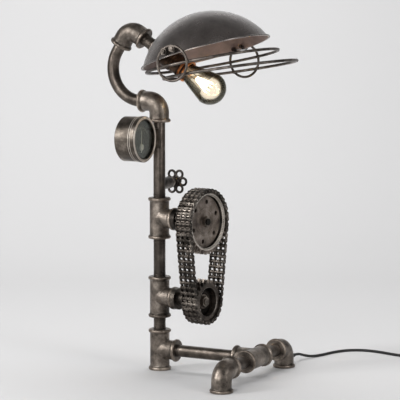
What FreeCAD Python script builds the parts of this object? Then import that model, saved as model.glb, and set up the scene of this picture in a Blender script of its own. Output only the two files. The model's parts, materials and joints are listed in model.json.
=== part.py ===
import FreeCAD, Part
import math
import os

# Industrial pipe table lamp, in millimetres.
# Origin: axis of the post on the table. +X along the base pipe, +Y away from the gauge side, +Z up.

V = FreeCAD.Vector

# Pipe and the beaded fittings that join it
pipe_od = 21.3
pipe_bore = 15.0
thread_gap = 0.05
thread_depth = 13.0
fitting_reach = 36.9
fitting_body_d = 35.0
fitting_bore = 16.0
band_d = 40.5
band_width = 6.0
band_chamfer = 1.5
elbow_bend_radius = 20.0
swivel_gap = 0.3

# Stand
base_span = 188.6
foot_span = 123.6
upper_pipe_show = 134.0
plug_length = 10.0

# Arm and head
arm_bend_radius = 57.5
arm_lead_out = 11.0
neck_drop_deg = 33.0
neck_show = 29.1
dome_offset = 11.7
locknut_seat = 4.0
neck_inside = 22.0
shade_tilt_deg = 16.2
shade_rim_r = 113.5
shade_height = 72.0
shade_wall = 1.6
shade_lip = 2.6
neck_hole_gap = 0.3
locknut_flats = 30.0
locknut_height = 7.0

# Wire guard below the shade
guard_wire_d = 5.0
guard_ring_out = 3.0
guard_upper_drop = 17.2
guard_upper_shift = 8.8
guard_upper_ease_deg = 5.0
guard_lower_drop = 40.5
guard_lower_shift = 38.5
guard_lower_ease_deg = 7.3
stirrup_r = 29.5
stirrup_wire_d = 4.4
stirrup_rim_gap = 0.4
stirrup_turn_deg = 4.3
stirrup_ahead = 3.0
stirrup_drop = 15.7
guard_bolt_d = 4.0
guard_bolt_gap = 0.1
guard_bolt_turns_deg = (88.0, 128.0)
guard_washer_d = 12.0
guard_washer_h = 1.2
guard_head_flats = 7.0
guard_head_h = 3.0
guard_nut_h = 3.2
spacer_blank = 30.0

# Lamp holder and bulb
holder_cap_d = 38.0
holder_cap_length = 24.0
holder_shell_d = 35.0
holder_shell_length = 32.0
holder_wall = 1.8
holder_floor = 4.0
holder_shoulder = 6.0
holder_flare = 2.0
contact_d = 9.0
contact_length = 3.0
contact_bridge = 1.0
bulb_cap_d = 26.2
bulb_cap_length = 28.0
bulb_cap_neck_d = 24.0
bulb_cap_wall = 1.0
bulb_cap_floor = 2.0
bulb_tip_d = 9.0
bulb_tip_length = 3.0
bulb_d = 58.0
bulb_wide_at = 65.0
bulb_shoulder = 2.5
bulb_shoulder_at = 10.0
bulb_side_in = 6.5
bulb_side_at = 39.0
bulb_wall = 1.0
stem_d = 8.0
stem_root_d = 14.4
stem_root_depth = 9.3
stem_length = 34.0
filament_d = 0.8
filament_count = 6
filament_length = 30.0
filament_foot_r = 2.8
filament_top_r = 11.0

# Pressure gauge
gauge_z = 417.5
gauge_d = 79.0
gauge_depth = 40.0
gauge_wall = 1.6
gauge_corner = 2.0
gauge_face_x = 0.5
gauge_post_gap = 2.5
bezel_d = 81.0
bezel_width = 6.0
bezel_lip = 4.0
bezel_edge = 1.5
bezel_face = 1.0
lens_thickness = 2.0
dial_thickness = 1.2
dial_depth = 8.0
needle_length = 29.0
needle_tail = 10.0
needle_width = 2.4
needle_tip_width = 0.8
needle_tail_width = 3.4
needle_gap = 0.6
spindle_show = 0.9
needle_thickness = 1.0
needle_hub_d = 12.0
needle_pivot_drop = 14.0
needle_spindle_d = 3.0
needle_fit = 0.05
saddle_width = 14.0
saddle_height = 34.0

# Handwheel switch
switch_z = 334.5
switch_body_d = 21.0
switch_body_end = 34.0
switch_wall = 2.0
bonnet_flats = 17.0
bonnet_height = 9.0
bonnet_spigot = 4.0
stem_rod_d = 8.0
stem_fit = 0.06
dimmer_d = 14.0
dimmer_length = 12.0
wheel_y = 60.0
wheel_thickness = 6.0
wheel_lobes = 6
wheel_lobe_d = 18.0
wheel_lobe_at = 15.0
wheel_hole_d = 11.0
wheel_hub_d = 14.0
wheel_hub_height = 10.0
wheel_nut_flats = 10.0
wheel_nut_height = 4.0

# Chain drive, a triple-strand roller chain of 9.525 mm pitch
drive_lower_z = 132.4
drive_turn_deg = 8.5
drive_reach = 95.0
chain_pitch = 9.525
chain_links = 60
strand_pitch = 10.24
strands = 3
halvings = 60
upper_teeth = 36
lower_teeth = 24
roller_d = 6.35
roller_length = 5.7
plate_height = 8.2
plate_thickness = 1.25
plate_gap = 0.12
outer_plate_thickness = 1.3
tooth_width = 5.2
tooth_gap_half = 2.35
tooth_mouth_half = 4.3
tooth_rise = 2.7
tooth_clearance = 0.12
drum_clearance = 0.6
upper_dish_d = 93.0
lower_dish_d = 51.0
upper_dish_depth = 7.5
lower_dish_depth = 11.0
web_thickness = 6.0
upper_hole_circle_d = 70.0
upper_hole_d = 8.0
upper_holes = 6
hole_start = 0.35
hub_d = 26.0
hub_rise = 1.0
collar_d = 22.0
bush_wall = 2.0
bush_fit = 0.06
axle_d = 12.0
axle_show = 2.0
axle_flange_d = 39.0
axle_flange_width = 9.0
axle_nut_flats = 17.0
axle_nut_height = 5.0

# Mains cord
cord_d = 5.0
cord_lift = 0.05
cord_sides = 10
cord_settle = 0.4
bend_share = 0.45
nearly_nothing = 1e-6
gland_length = 26.0
gland_root_d = 11.0
gland_tip_d = 7.0
gland_flange_d = 14.0
gland_flange = 3.0
gland_seat = 3.0
cord_exit_z = 14.0
coil_inner_r = 20.0
coil_gap = 1.45
coil_turns_per_layer = 2
coil_layers = 4
coil_last_half_turns = 3
coil_centre = V(377.0, 342.0, 0.0)
tail_level = 16.0
tail_drop_end = 43.0
tail_reach = 64.0
tail_aside = 4.0
tie_width = 6.0
tie_thickness = 1.6
tie_gap = 0.4
plug_body_length = 36.0
plug_body_width = 26.0
plug_body_height = 15.0
plug_nose_length = 14.0
plug_corner_r = 4.5
plug_pin_d = 4.0
plug_pin_length = 19.0
plug_pin_spacing = 18.6

# Derived sizes
pipe_r = pipe_od / 2
body_r = fitting_body_d / 2
band_r = band_d / 2
socket_r = pipe_r + thread_gap
base_z = fitting_reach
guard_ring_r = shade_rim_r + guard_ring_out
cord_r = cord_d / 2
UP = V(0, 0, 1)
DOWN = V(0, 0, -1)
RIGHT = V(1, 0, 0)
LEFT = V(-1, 0, 0)
BACK = V(0, 1, 0)
FRONT = V(0, -1, 0)
ORIGIN = V(0, 0, 0)

nodes = {}


def keep(name, shape):
    """Registers the solid, or group of solids, of one named piece."""
    nodes[name] = shape


def frame_at(origin, z_dir, x_dir=None):
    """Placement that carries local Z to z_dir and, as near as it can, local X to x_dir."""
    z = V(z_dir).normalize()
    if x_dir is None:
        x_dir = RIGHT if abs(z.x) < 0.9 else UP
    y = z.cross(x_dir).normalize()
    x = y.cross(z)
    return FreeCAD.Placement(
        FreeCAD.Matrix(
            x.x, y.x, z.x, origin.x,
            x.y, y.y, z.y, origin.y,
            x.z, y.z, z.z, origin.z,
            0, 0, 0, 1,
        )
    )


def placed(shape, placement):
    """A copy of a shape moved by a placement."""
    result = shape.copy()
    result.transformShape(placement.toMatrix(), True)
    return result


def revolved(profile, placement=None):
    """Solid of revolution about local Z of a closed outline of (radius, height) points."""
    points = [V(r, 0, h) for r, h in profile]
    points.append(points[0])
    face = Part.Face(Part.makePolygon(points))
    solid = face.revolve(ORIGIN, UP, 360)
    if placement is None:
        return solid
    return placed(solid, placement)


def rod(origin, direction, length, diameter, bore=0.0):
    """Round bar or tube from origin along direction."""
    bar = Part.makeCylinder(diameter / 2, length, origin, direction)
    if bore <= 0:
        return bar
    return bar.cut(Part.makeCylinder(bore / 2, length, origin, direction))


def hexagon(origin, direction, height, flats, bore=0.0):
    """Hexagon prism, across flats, with an optional round bore."""
    corner = flats / math.sqrt(3)
    turns = [math.radians(60 * i) for i in range(6)]
    points = [V(corner * math.cos(a), corner * math.sin(a), 0) for a in turns]
    points.append(points[0])
    prism = Part.Face(Part.makePolygon(points)).extrude(V(0, 0, height))
    if bore > 0:
        prism = prism.cut(Part.makeCylinder(bore / 2, height))
    return placed(prism, frame_at(origin, direction))


# Pipe fittings


def band_outline(root):
    """Outline of a fitting leg from height root out to its beaded mouth."""
    shoulder = fitting_reach - band_width
    return [
        (0, root),
        (body_r, root),
        (body_r, shoulder - band_chamfer / 2),
        (band_r - band_chamfer, shoulder),
        (band_r, shoulder + band_chamfer),
        (band_r, fitting_reach - band_chamfer),
        (band_r - band_chamfer, fitting_reach),
        (0, fitting_reach),
    ]


def leg_bore():
    """Waterway from the centre of a fitting, and the socket that takes a pipe end."""
    shoulder = fitting_reach - thread_depth
    mouth = fitting_reach + 1
    return revolved(
        [
            (0, 0),
            (fitting_bore / 2, 0),
            (fitting_bore / 2, shoulder),
            (socket_r, shoulder),
            (socket_r, mouth),
            (0, mouth),
        ]
    )


def fitting(centre, directions, corner=None):
    """Fitting whose legs point along the directions, joined by an optional corner solid."""
    blanks = [placed(revolved(band_outline(0 if corner is None else elbow_bend_radius)),
                     frame_at(centre, d)) for d in directions]
    bores = [placed(leg_bore(), frame_at(centre, d)) for d in directions]
    if corner is not None:
        blanks.append(corner)
    body = blanks[0].multiFuse(blanks[1:]).removeSplitter()
    return body.cut(bores[0].multiFuse(bores[1:]))


def tee(centre, run, branch):
    """Tee with its run along a direction and one branch."""
    return fitting(centre, [run, run * -1, branch])


def elbow(centre, first, second):
    """Quarter-bend elbow between two square directions."""
    first = V(first).normalize()
    second = V(second).normalize()
    start = centre + first * elbow_bend_radius
    pivot = start + second * elbow_bend_radius
    section = Part.Face(Part.Wire(Part.makeCircle(body_r, start, first)))
    corner = section.revolve(pivot, first.cross(second) * -1, 90)
    legs = fitting(centre, [first, second], corner)
    return legs


def pipe_between(first, second):
    """Pipe whose ends seat in the sockets of two fittings, given their centres."""
    direction = (second - first).normalize()
    seat = fitting_reach - thread_depth
    length = (second - first).Length - 2 * seat
    return rod(first + direction * seat, direction, length, pipe_od, pipe_bore)


# Places along the stand
foot_centre = V(0, 0, base_z)
cross_centre = V(base_span, 0, base_z)
front_centre = V(base_span, -foot_span, base_z)
rear_centre = V(base_span, foot_span, base_z)
lower_centre = V(0, 0, drive_lower_z)


def pitch_radius(teeth):
    """Radius of the circle through the roller centres on a sprocket."""
    return chain_pitch / (2 * math.sin(math.pi / teeth))


def chain_pitches(distance):
    """Pitches in the loop round both sprockets at a centre distance."""
    difference = pitch_radius(upper_teeth) - pitch_radius(lower_teeth)
    lean = math.asin(difference / distance)
    straight = math.sqrt(distance ** 2 - difference ** 2)
    upper_wrap = (math.pi + 2 * lean) * upper_teeth / (2 * math.pi)
    lower_wrap = (math.pi - 2 * lean) * lower_teeth / (2 * math.pi)
    return 2 * straight / chain_pitch + upper_wrap + lower_wrap


def drive_distance():
    """Centre distance at which the chosen number of links just closes the loop."""
    low = pitch_radius(upper_teeth) + pitch_radius(lower_teeth)
    high = chain_links * chain_pitch
    for _ in range(halvings):
        middle = (low + high) / 2
        if chain_pitches(middle) < chain_links:
            low = middle
        else:
            high = middle
    return (low + high) / 2


drive_span = drive_distance()
upper_centre = lower_centre + UP * drive_span
post_elbow_centre = upper_centre + UP * (2 * fitting_reach + upper_pipe_show)
drive_axis = V(math.cos(math.radians(drive_turn_deg)), -math.sin(math.radians(drive_turn_deg)), 0)


def build_stand():
    keep("foot_tee", tee(foot_centre, UP, RIGHT))
    keep("base_pipe", pipe_between(foot_centre, cross_centre))
    keep("cross_tee", tee(cross_centre, BACK, LEFT))
    nipples = [pipe_between(cross_centre, c) for c in (front_centre, rear_centre)]
    keep("base_nipples", Part.makeCompound(nipples))
    keep("front_foot_elbow", elbow(front_centre, BACK, DOWN))
    gland_hole = rod(V(base_span, foot_span, cord_exit_z), BACK, body_r + 1, gland_root_d + 2 * thread_gap)
    keep("rear_foot_elbow", elbow(rear_centre, FRONT, DOWN).cut(gland_hole))
    plugs = [rod(V(c.x, c.y, 0), UP, plug_length, pipe_od) for c in (foot_centre, front_centre, rear_centre)]
    keep("foot_plugs", Part.makeCompound(plugs))
    keep("post_nipple", pipe_between(foot_centre, lower_centre))
    keep("lower_drive_tee", tee(lower_centre, UP, drive_axis))
    keep("middle_pipe", pipe_between(lower_centre, upper_centre))
    keep("upper_drive_tee", tee(upper_centre, UP, drive_axis))
    seat = fitting_reach - thread_depth
    start = upper_centre + UP * seat
    length = (post_elbow_centre - upper_centre).Length - 2 * seat - swivel_gap
    keep("upper_pipe", rod(start, UP, length, pipe_od, pipe_bore))


# Arm: a bent pipe from the post elbow round to the head elbow, in the XZ plane
drop = math.radians(neck_drop_deg)
neck_dir = V(math.cos(drop), 0, -math.sin(drop))
arm_end_dir = V(math.sin(drop), 0, math.cos(drop))
arm_start = post_elbow_centre + LEFT * fitting_reach
bend_centre = arm_start + UP * arm_bend_radius
bend_end = bend_centre + V(-math.cos(drop), 0, math.sin(drop)) * arm_bend_radius
head_centre = bend_end + arm_end_dir * (arm_lead_out + fitting_reach)
shade_r = (shade_rim_r ** 2 + shade_height ** 2) / (2 * shade_height)
axis_foot = head_centre + neck_dir * (fitting_reach + neck_show + shade_r)
dome_centre = axis_foot + arm_end_dir * dome_offset


def bent_bar(radius):
    """Bar along the arm's path, from seat to seat."""
    tail = thread_depth
    first = Part.makeCylinder(radius, tail, arm_start + RIGHT * tail, LEFT)
    section = Part.Face(Part.Wire(Part.makeCircle(radius, arm_start, LEFT)))
    bend = section.revolve(bend_centre, BACK, 90 + neck_drop_deg)
    last = Part.makeCylinder(radius, arm_lead_out + tail, bend_end, arm_end_dir)
    return first.multiFuse([bend, last]).removeSplitter()


def build_arm():
    keep("post_elbow", elbow(post_elbow_centre, DOWN, LEFT))
    keep("arm_pipe", bent_bar(pipe_r).cut(bent_bar(pipe_bore / 2)))
    keep("head_elbow", elbow(head_centre, arm_end_dir * -1, neck_dir))


# Head: the centre of the shade's sphere lies a little above the neck's axis
tilt = math.radians(shade_tilt_deg)
shade_up = V(-math.sin(tilt), 0, math.cos(tilt))
shade_across = V(math.cos(tilt), 0, math.sin(tilt))
rim_centre = dome_centre + shade_up * (shade_r - shade_height)
neck_end = -(shade_r - neck_inside)


def on_neck(distance):
    """Point of the neck's axis at a distance past the foot of the dome's centre on it."""
    return axis_foot + neck_dir * distance


def dome_solid(radius):
    """Cap of the dome's sphere above the rim plane."""
    ball = Part.makeSphere(radius, dome_centre)
    cutter = Part.makeCylinder(2 * radius, 2 * radius, rim_centre, shade_up)
    return ball.common(cutter)


def build_neck():
    seat = fitting_reach - thread_depth + swivel_gap
    start = head_centre + neck_dir * seat
    length = (on_neck(neck_end) - start).Length
    keep("neck_pipe", rod(start, neck_dir, length, pipe_od, pipe_bore))
    bore = 2 * socket_r
    blank = locknut_height + locknut_seat
    outer = hexagon(on_neck(-shade_r - locknut_height), neck_dir, blank, locknut_flats, bore)
    outer = outer.cut(Part.makeSphere(shade_r, dome_centre))
    inner_r = shade_r - shade_wall
    inner = hexagon(on_neck(-inner_r - 1), neck_dir, blank, locknut_flats, bore)
    inner = inner.common(Part.makeSphere(inner_r, dome_centre))
    keep("shade_locknuts", Part.makeCompound([outer, inner]))


def build_shade():
    shell = dome_solid(shade_r).cut(dome_solid(shade_r - shade_wall))
    lip_outline = [
        (shade_rim_r - shade_wall, 0),
        (shade_rim_r + shade_lip, 0),
        (shade_rim_r + shade_lip, shade_lip / 2),
        (shade_rim_r + shade_lip / 2, shade_lip),
        (shade_rim_r - shade_wall, shade_lip),
    ]
    lip = revolved(lip_outline, frame_at(rim_centre, shade_up))
    lip = lip.cut(Part.makeSphere(shade_r - shade_wall, dome_centre))
    hole = rod(on_neck(-shade_r - neck_inside / 2), neck_dir, neck_inside, pipe_od + 2 * neck_hole_gap)
    keep("shade_dome", shell.fuse(lip).removeSplitter().cut(hole))


def guard_frame(drop_below, shift, ease_deg):
    """Centre and normal of a guard ring, below the rim, shifted outwards and eased towards level."""
    centre = rim_centre - shade_up * drop_below + shade_across * shift
    lean = tilt - math.radians(ease_deg)
    return centre, V(-math.sin(lean), 0, math.cos(lean))


def build_guard():
    for name, values in (
        ("guard_upper_ring", (guard_upper_drop, guard_upper_shift, guard_upper_ease_deg)),
        ("guard_lower_ring", (guard_lower_drop, guard_lower_shift, guard_lower_ease_deg)),
    ):
        centre, normal = guard_frame(*values)
        keep(name, Part.makeTorus(guard_ring_r, guard_wire_d / 2, centre, normal))
    rings = nodes["guard_upper_ring"].fuse(nodes["guard_lower_ring"])
    spacers = []
    bolts = []
    holes = []
    skew = math.radians(stirrup_turn_deg)
    ahead = V(math.cos(skew), -math.sin(skew), 0)
    for name, side in (("guard_near_stirrup", -1), ("guard_far_stirrup", 1)):
        out = V(math.sin(skew), math.cos(skew), 0) * side
        stand_off = shade_rim_r + shade_lip + stirrup_rim_gap + stirrup_wire_d / 2
        centre = rim_centre - shade_up * stirrup_drop + ahead * stirrup_ahead + out * stand_off
        wire = Part.makeTorus(stirrup_r, stirrup_wire_d / 2, centre, out)
        keep(name, wire.cut(rings))
        for turn_deg in guard_bolt_turns_deg:
            turn = math.radians(turn_deg)
            reach = stirrup_r - (stirrup_wire_d + guard_bolt_d) / 2 - guard_bolt_gap
            axis_at = centre + (ahead * math.cos(turn) + UP * math.sin(turn)) * reach
            spacer, bolt, hole = guard_fixing(axis_at, out)
            spacers.append(spacer)
            bolts.append(bolt)
            holes.append(hole)
    keep("guard_spacers", Part.makeCompound(spacers))
    keep("guard_bolts", Part.makeCompound(bolts))
    keep("shade_dome", nodes["shade_dome"].cut(holes[0].multiFuse(holes[1:])))


def guard_fixing(axis_at, out):
    """Spacer, bolt with its nut, and the hole in the dome, for a bolt at a point of the stirrup's plane."""
    inward = out * -1
    face = axis_at + out * (stirrup_wire_d / 2)
    bore_d = guard_bolt_d + 2 * thread_gap
    spacer = rod(axis_at - out * (stirrup_wire_d / 2), inward, spacer_blank, guard_washer_d, bore_d)
    spacer = largest(spacer.cut(dome_solid(shade_r)).cut(nodes["shade_dome"]))
    washer = rod(face, out, guard_washer_h, guard_washer_d)
    head = hexagon(face + out * guard_washer_h, out, guard_head_h, guard_head_flats)
    wall = wall_distance(face, inward, shade_r - shade_wall)
    shank = rod(face, inward, wall + 2 * guard_nut_h, guard_bolt_d)
    nut = hexagon(face + inward * (wall - guard_nut_h), inward, 2 * guard_nut_h, guard_head_flats)
    nut = largest(nut.common(Part.makeSphere(shade_r - shade_wall, dome_centre)))
    hole = rod(face, inward, wall + guard_nut_h, bore_d)
    return spacer, washer.multiFuse([head, shank, nut]), hole


def wall_distance(point, direction, radius):
    """Distance from a point outside a sphere about the dome's centre, along a direction, to the sphere."""
    offset = point - dome_centre
    along = offset.dot(direction)
    return -along - math.sqrt(along ** 2 - offset.dot(offset) + radius ** 2)


def build_holder():
    base = on_neck(neck_end - holder_floor)
    at = frame_at(base, neck_dir)
    cap_r = holder_cap_d / 2
    shell_r = holder_shell_d / 2
    cap = revolved(
        [
            (socket_r, -holder_floor),
            (cap_r - holder_shoulder, -holder_floor),
            (cap_r, holder_shoulder - holder_floor),
            (cap_r, holder_cap_length - holder_floor),
            (shell_r - holder_wall, holder_cap_length - holder_floor),
            (shell_r - holder_wall, 2 * holder_floor),
            (pipe_bore / 2, 2 * holder_floor),
            (pipe_bore / 2, holder_floor),
            (socket_r, holder_floor),
        ],
        at,
    )
    keep("holder_cap", cap)
    mouth = holder_cap_length - holder_floor
    shell = revolved(
        [
            (shell_r - holder_wall, mouth),
            (shell_r, mouth),
            (shell_r, mouth + holder_shell_length - 2 * holder_flare),
            (shell_r + holder_flare, mouth + holder_shell_length - holder_flare),
            (shell_r + holder_flare, mouth + holder_shell_length),
            (shell_r - holder_wall, mouth + holder_shell_length),
        ],
        at,
    )
    keep("holder_shell", shell)
    contact = rod(on_neck(neck_end + holder_floor), neck_dir, contact_length, contact_d)
    bridge = rod(on_neck(neck_end + holder_floor), neck_dir, contact_bridge, 2 * (shell_r - holder_wall))
    keep("holder_contact", contact.fuse(bridge))


bulb_base = neck_end + holder_floor + contact_length + bulb_tip_length
glass_start = bulb_base + bulb_cap_length


def build_bulb():
    tip = rod(on_neck(bulb_base - bulb_tip_length), neck_dir, bulb_tip_length, bulb_tip_d)
    cup = rod(on_neck(bulb_base), neck_dir, bulb_cap_length, bulb_cap_d)
    inside_d = bulb_cap_d - 2 * bulb_cap_wall
    cup = cup.cut(rod(on_neck(bulb_base + bulb_cap_floor), neck_dir, bulb_cap_length, inside_d))
    keep("bulb_cap", tip.fuse(cup))
    at = frame_at(on_neck(glass_start), neck_dir)
    keep("bulb_glass", placed(glass_body(0).cut(glass_body(bulb_wall)), at))
    stem = revolved(
        [
            (0, -stem_root_depth),
            (stem_root_d / 2, -stem_root_depth),
            (stem_d / 2, 0),
            (stem_d / 2, stem_length),
            (0, stem_length),
        ],
        at,
    )
    keep("bulb_stem", stem)
    feet = ring_points(filament_foot_r, stem_length, 0)
    tops = ring_points(filament_top_r, stem_length + filament_length, 0.5)
    wires = []
    for foot, top in zip(feet, tops):
        corners = [foot + corner for corner in ring_points(filament_d / 2, 0, 0)]
        corners.append(corners[0])
        wires.append(Part.Face(Part.makePolygon(corners)).extrude(top - foot))
    keep("bulb_filament", placed(Part.makeCompound(wires), at))


def ring_points(radius, height, offset):
    """Evenly spaced points of a circle about local Z, one for each bay of the filament."""
    turns = [2 * math.pi * (i + offset) / filament_count for i in range(filament_count)]
    return [V(radius * math.cos(a), radius * math.sin(a), height) for a in turns]


def glass_body(inset):
    """Pear-shaped glass of the bulb, shrunk by an inset; its neck starts at local zero."""
    neck_r = bulb_cap_neck_d / 2 - inset
    wide_r = bulb_d / 2 - inset
    top = bulb_wide_at + wide_r
    root = -bulb_cap_length / 2 + inset
    shoulder = V(neck_r + bulb_shoulder, 0, bulb_shoulder_at)
    middle = V(wide_r - bulb_side_in, 0, bulb_side_at)
    wide = V(wide_r, 0, bulb_wide_at)
    crown = V(wide_r / math.sqrt(2), 0, bulb_wide_at + wide_r / math.sqrt(2))
    side = Part.Arc(shoulder, middle, wide).toShape()
    cap = Part.Arc(wide, crown, V(0, 0, top)).toShape()
    edges = [
        Part.makeLine(V(0, 0, root), V(neck_r, 0, root)),
        Part.makeLine(V(neck_r, 0, root), V(neck_r, 0, 0)),
        Part.makeLine(V(neck_r, 0, 0), shoulder),
        side,
        cap,
        Part.makeLine(V(0, 0, top), V(0, 0, root)),
    ]
    return Part.Face(Part.Wire(edges)).revolve(ORIGIN, UP, 360)


# Gauge
gauge_r = gauge_d / 2
gauge_y = -(pipe_r + gauge_post_gap + gauge_r)


def build_gauge():
    at = frame_at(V(gauge_face_x, gauge_y, gauge_z), RIGHT, UP)
    inner_r = gauge_r - gauge_wall
    case = revolved(
        [
            (0, -gauge_depth),
            (gauge_r - gauge_corner, -gauge_depth),
            (gauge_r, -gauge_depth + gauge_corner),
            (gauge_r, -bezel_width),
            (gauge_r - gauge_wall, -bezel_width),
            (inner_r, -gauge_depth + gauge_wall),
            (0, -gauge_depth + gauge_wall),
        ],
        at,
    )
    keep("gauge_case", case)
    bezel_r = bezel_d / 2
    bezel = revolved(
        [
            (inner_r, -bezel_width),
            (bezel_r, -bezel_width),
            (bezel_r, -bezel_face),
            (bezel_r - bezel_edge, 0),
            (inner_r - bezel_lip, 0),
            (inner_r - bezel_lip, -bezel_face),
            (inner_r, -bezel_edge),
        ],
        at,
    )
    keep("gauge_bezel", bezel)
    lens_at = V(gauge_face_x - bezel_edge, gauge_y, gauge_z)
    lens = rod(lens_at, LEFT, lens_thickness, 2 * inner_r - 2 * thread_gap)
    keep("gauge_lens", lens)
    dial_face = gauge_face_x - dial_depth
    plate = rod(V(dial_face, gauge_y, gauge_z), LEFT, dial_thickness, 2 * inner_r - 2 * thread_gap)
    spindle_out = needle_gap + needle_thickness + spindle_show
    pivot_z = gauge_z - needle_pivot_drop
    spindle = rod(V(dial_face - dial_thickness / 2, gauge_y, pivot_z), RIGHT,
                  spindle_out + dial_thickness / 2, needle_spindle_d)
    keep("gauge_dial", plate.fuse(spindle))
    needle_at = V(dial_face + needle_gap, gauge_y, pivot_z)
    half = needle_width / 2
    outline = [
        V(0, -needle_tail_width / 2, -needle_tail),
        V(0, needle_tail_width / 2, -needle_tail),
        V(0, half, 0),
        V(0, needle_tip_width / 2, needle_length),
        V(0, -needle_tip_width / 2, needle_length),
        V(0, -half, 0),
    ]
    outline.append(outline[0])
    blade = Part.Face(Part.makePolygon(outline)).extrude(V(needle_thickness, 0, 0))
    hub = Part.makeCylinder(needle_hub_d / 2, needle_thickness, ORIGIN, RIGHT)
    bore = Part.makeCylinder(needle_spindle_d / 2 + needle_fit, needle_thickness, ORIGIN, RIGHT)
    needle = blade.fuse(hub).cut(bore)
    needle.translate(needle_at)
    keep("gauge_needle", needle)
    block = Part.makeBox(saddle_width, -gauge_y, saddle_height,
                         V(-saddle_width / 2, gauge_y, gauge_z - saddle_height / 2))
    block = block.cut(rod(V(0, 0, 0), UP, 2 * gauge_z, 2 * socket_r))
    saddle_limit = Part.makeBox(saddle_width, gauge_r + pipe_r, saddle_height,
                                V(-saddle_width / 2, -gauge_r - pipe_r, gauge_z - saddle_height / 2))
    keep("gauge_saddle", saddle(block, saddle_limit))


def saddle(block, limit):
    """Bracket between gauge and post: bears on the case's side and on the pipe's wall."""
    case = Part.makeCylinder(gauge_r, gauge_depth, V(gauge_face_x - gauge_depth, gauge_y, gauge_z), RIGHT)
    bezel = Part.makeCylinder(bezel_d / 2 + thread_gap, gauge_depth,
                              V(gauge_face_x - bezel_width - thread_gap, gauge_y, gauge_z), RIGHT)
    return block.common(limit).cut(case.fuse(bezel))


def build_switch():
    axis_at = V(0, 0, switch_z)
    body = rod(axis_at, BACK, switch_body_end, switch_body_d)
    cavity_start = pipe_r + switch_wall
    cavity = rod(axis_at + BACK * cavity_start, BACK, switch_body_end, switch_body_d - 2 * switch_wall)
    body = body.cut(cavity).cut(rod(V(0, 0, switch_z - switch_body_d), UP, 2 * switch_body_d, 2 * socket_r))
    keep("switch_body", largest(body))
    stem_bore = stem_rod_d + 2 * stem_fit
    bonnet = hexagon(axis_at + BACK * switch_body_end, BACK, bonnet_height, bonnet_flats)
    flange = rod(axis_at + BACK * switch_body_end, BACK, 2, switch_body_d)
    spigot_start = axis_at + BACK * (switch_body_end - bonnet_spigot)
    spigot = rod(spigot_start, BACK, bonnet_spigot, switch_body_d - 2 * switch_wall - 2 * thread_gap)
    passage = rod(spigot_start, BACK, bonnet_height + bonnet_spigot + 1, stem_bore)
    keep("switch_bonnet", bonnet.multiFuse([flange, spigot]).cut(passage))
    dimmer_start = cavity_start
    dimmer = rod(axis_at + BACK * dimmer_start, BACK, dimmer_length, dimmer_d)
    stem_start = dimmer_start + dimmer_length / 2
    dimmer = dimmer.cut(rod(axis_at + BACK * stem_start, BACK, dimmer_length, stem_bore))
    keep("dimmer", dimmer)
    hub_start = wheel_y - wheel_hub_height / 2
    nut_end = hub_start + wheel_hub_height + wheel_nut_height
    rod_start = stem_start + swivel_gap
    keep("switch_stem", rod(axis_at + BACK * rod_start, BACK, nut_end + 1 - rod_start, stem_rod_d))
    keep("handwheel", handwheel(axis_at + BACK * wheel_y))
    nut = hexagon(axis_at + BACK * (hub_start + wheel_hub_height), BACK, wheel_nut_height,
                  wheel_nut_flats + stem_rod_d / 2, 2 * thread_gap + stem_rod_d)
    keep("handwheel_nut", nut)


def handwheel(centre):
    """Cast wheel of round lobes, each with a finger opening, round a thicker hub."""
    back = centre - BACK * (wheel_thickness / 2)
    lobes = []
    holes = []
    for i in range(wheel_lobes):
        turn = 2 * math.pi * i / wheel_lobes
        spoke = V(math.cos(turn), 0, math.sin(turn))
        lobes.append(rod(back + spoke * wheel_lobe_at, BACK, wheel_thickness, wheel_lobe_d))
        holes.append(rod(back + spoke * wheel_lobe_at, BACK, wheel_thickness, wheel_hole_d))
    hub = rod(centre - BACK * (wheel_hub_height / 2), BACK, wheel_hub_height, wheel_hub_d)
    disc = rod(back, BACK, wheel_thickness, 2 * wheel_lobe_at)
    bore = rod(centre - BACK * wheel_hub_height, BACK, 2 * wheel_hub_height, stem_rod_d + 2 * thread_gap)
    return disc.multiFuse(lobes + [hub]).removeSplitter().cut(holes[0].multiFuse(holes[1:] + [bore]))


def largest(shape):
    """The biggest solid of a result that fell into pieces."""
    return max(shape.Solids, key=lambda solid: solid.Volume)


# Chain drive, built square to the post and then turned about it
def turned(shape):
    """Turns a shape about the post's axis to the drive's heading."""
    result = shape.copy()
    result.rotate(ORIGIN, UP, -drive_turn_deg)
    return result


def chain_points():
    """Pin centres (y, z) round the loop, one pitch apart, starting on top of the upper sprocket."""
    upper_r = pitch_radius(upper_teeth)
    lower_r = pitch_radius(lower_teeth)
    lean = math.asin((upper_r - lower_r) / drive_span)
    quarter = (math.pi / 2 + lean) * upper_teeth / (2 * math.pi)
    run = math.sqrt(drive_span ** 2 - (upper_r - lower_r) ** 2) / chain_pitch
    wrap = (math.pi - 2 * lean) * lower_teeth / (2 * math.pi)
    points = []
    for i in range(chain_links):
        u = i
        if u <= quarter:
            a = math.pi / 2 + u * 2 * math.pi / upper_teeth
            points.append((upper_r * math.cos(a), upper_centre.z + upper_r * math.sin(a)))
            continue
        u -= quarter
        left = math.pi + lean
        if u <= run:
            foot = V(math.cos(left), math.sin(left), 0)
            along = V(-math.sin(left), math.cos(left), 0) * (u * chain_pitch)
            points.append((foot.x * upper_r + along.x, upper_centre.z + foot.y * upper_r + along.y))
            continue
        u -= run
        if u <= wrap:
            a = left + u * 2 * math.pi / lower_teeth
            points.append((lower_r * math.cos(a), lower_centre.z + lower_r * math.sin(a)))
            continue
        u -= wrap
        right = -lean
        if u <= run:
            foot = V(math.cos(right), math.sin(right), 0)
            along = V(-math.sin(right), math.cos(right), 0) * (u * chain_pitch)
            points.append((foot.x * lower_r + along.x, lower_centre.z + foot.y * lower_r + along.y))
            continue
        u -= run
        a = right + u * 2 * math.pi / upper_teeth
        points.append((upper_r * math.cos(a), upper_centre.z + upper_r * math.sin(a)))
    return points


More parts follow.
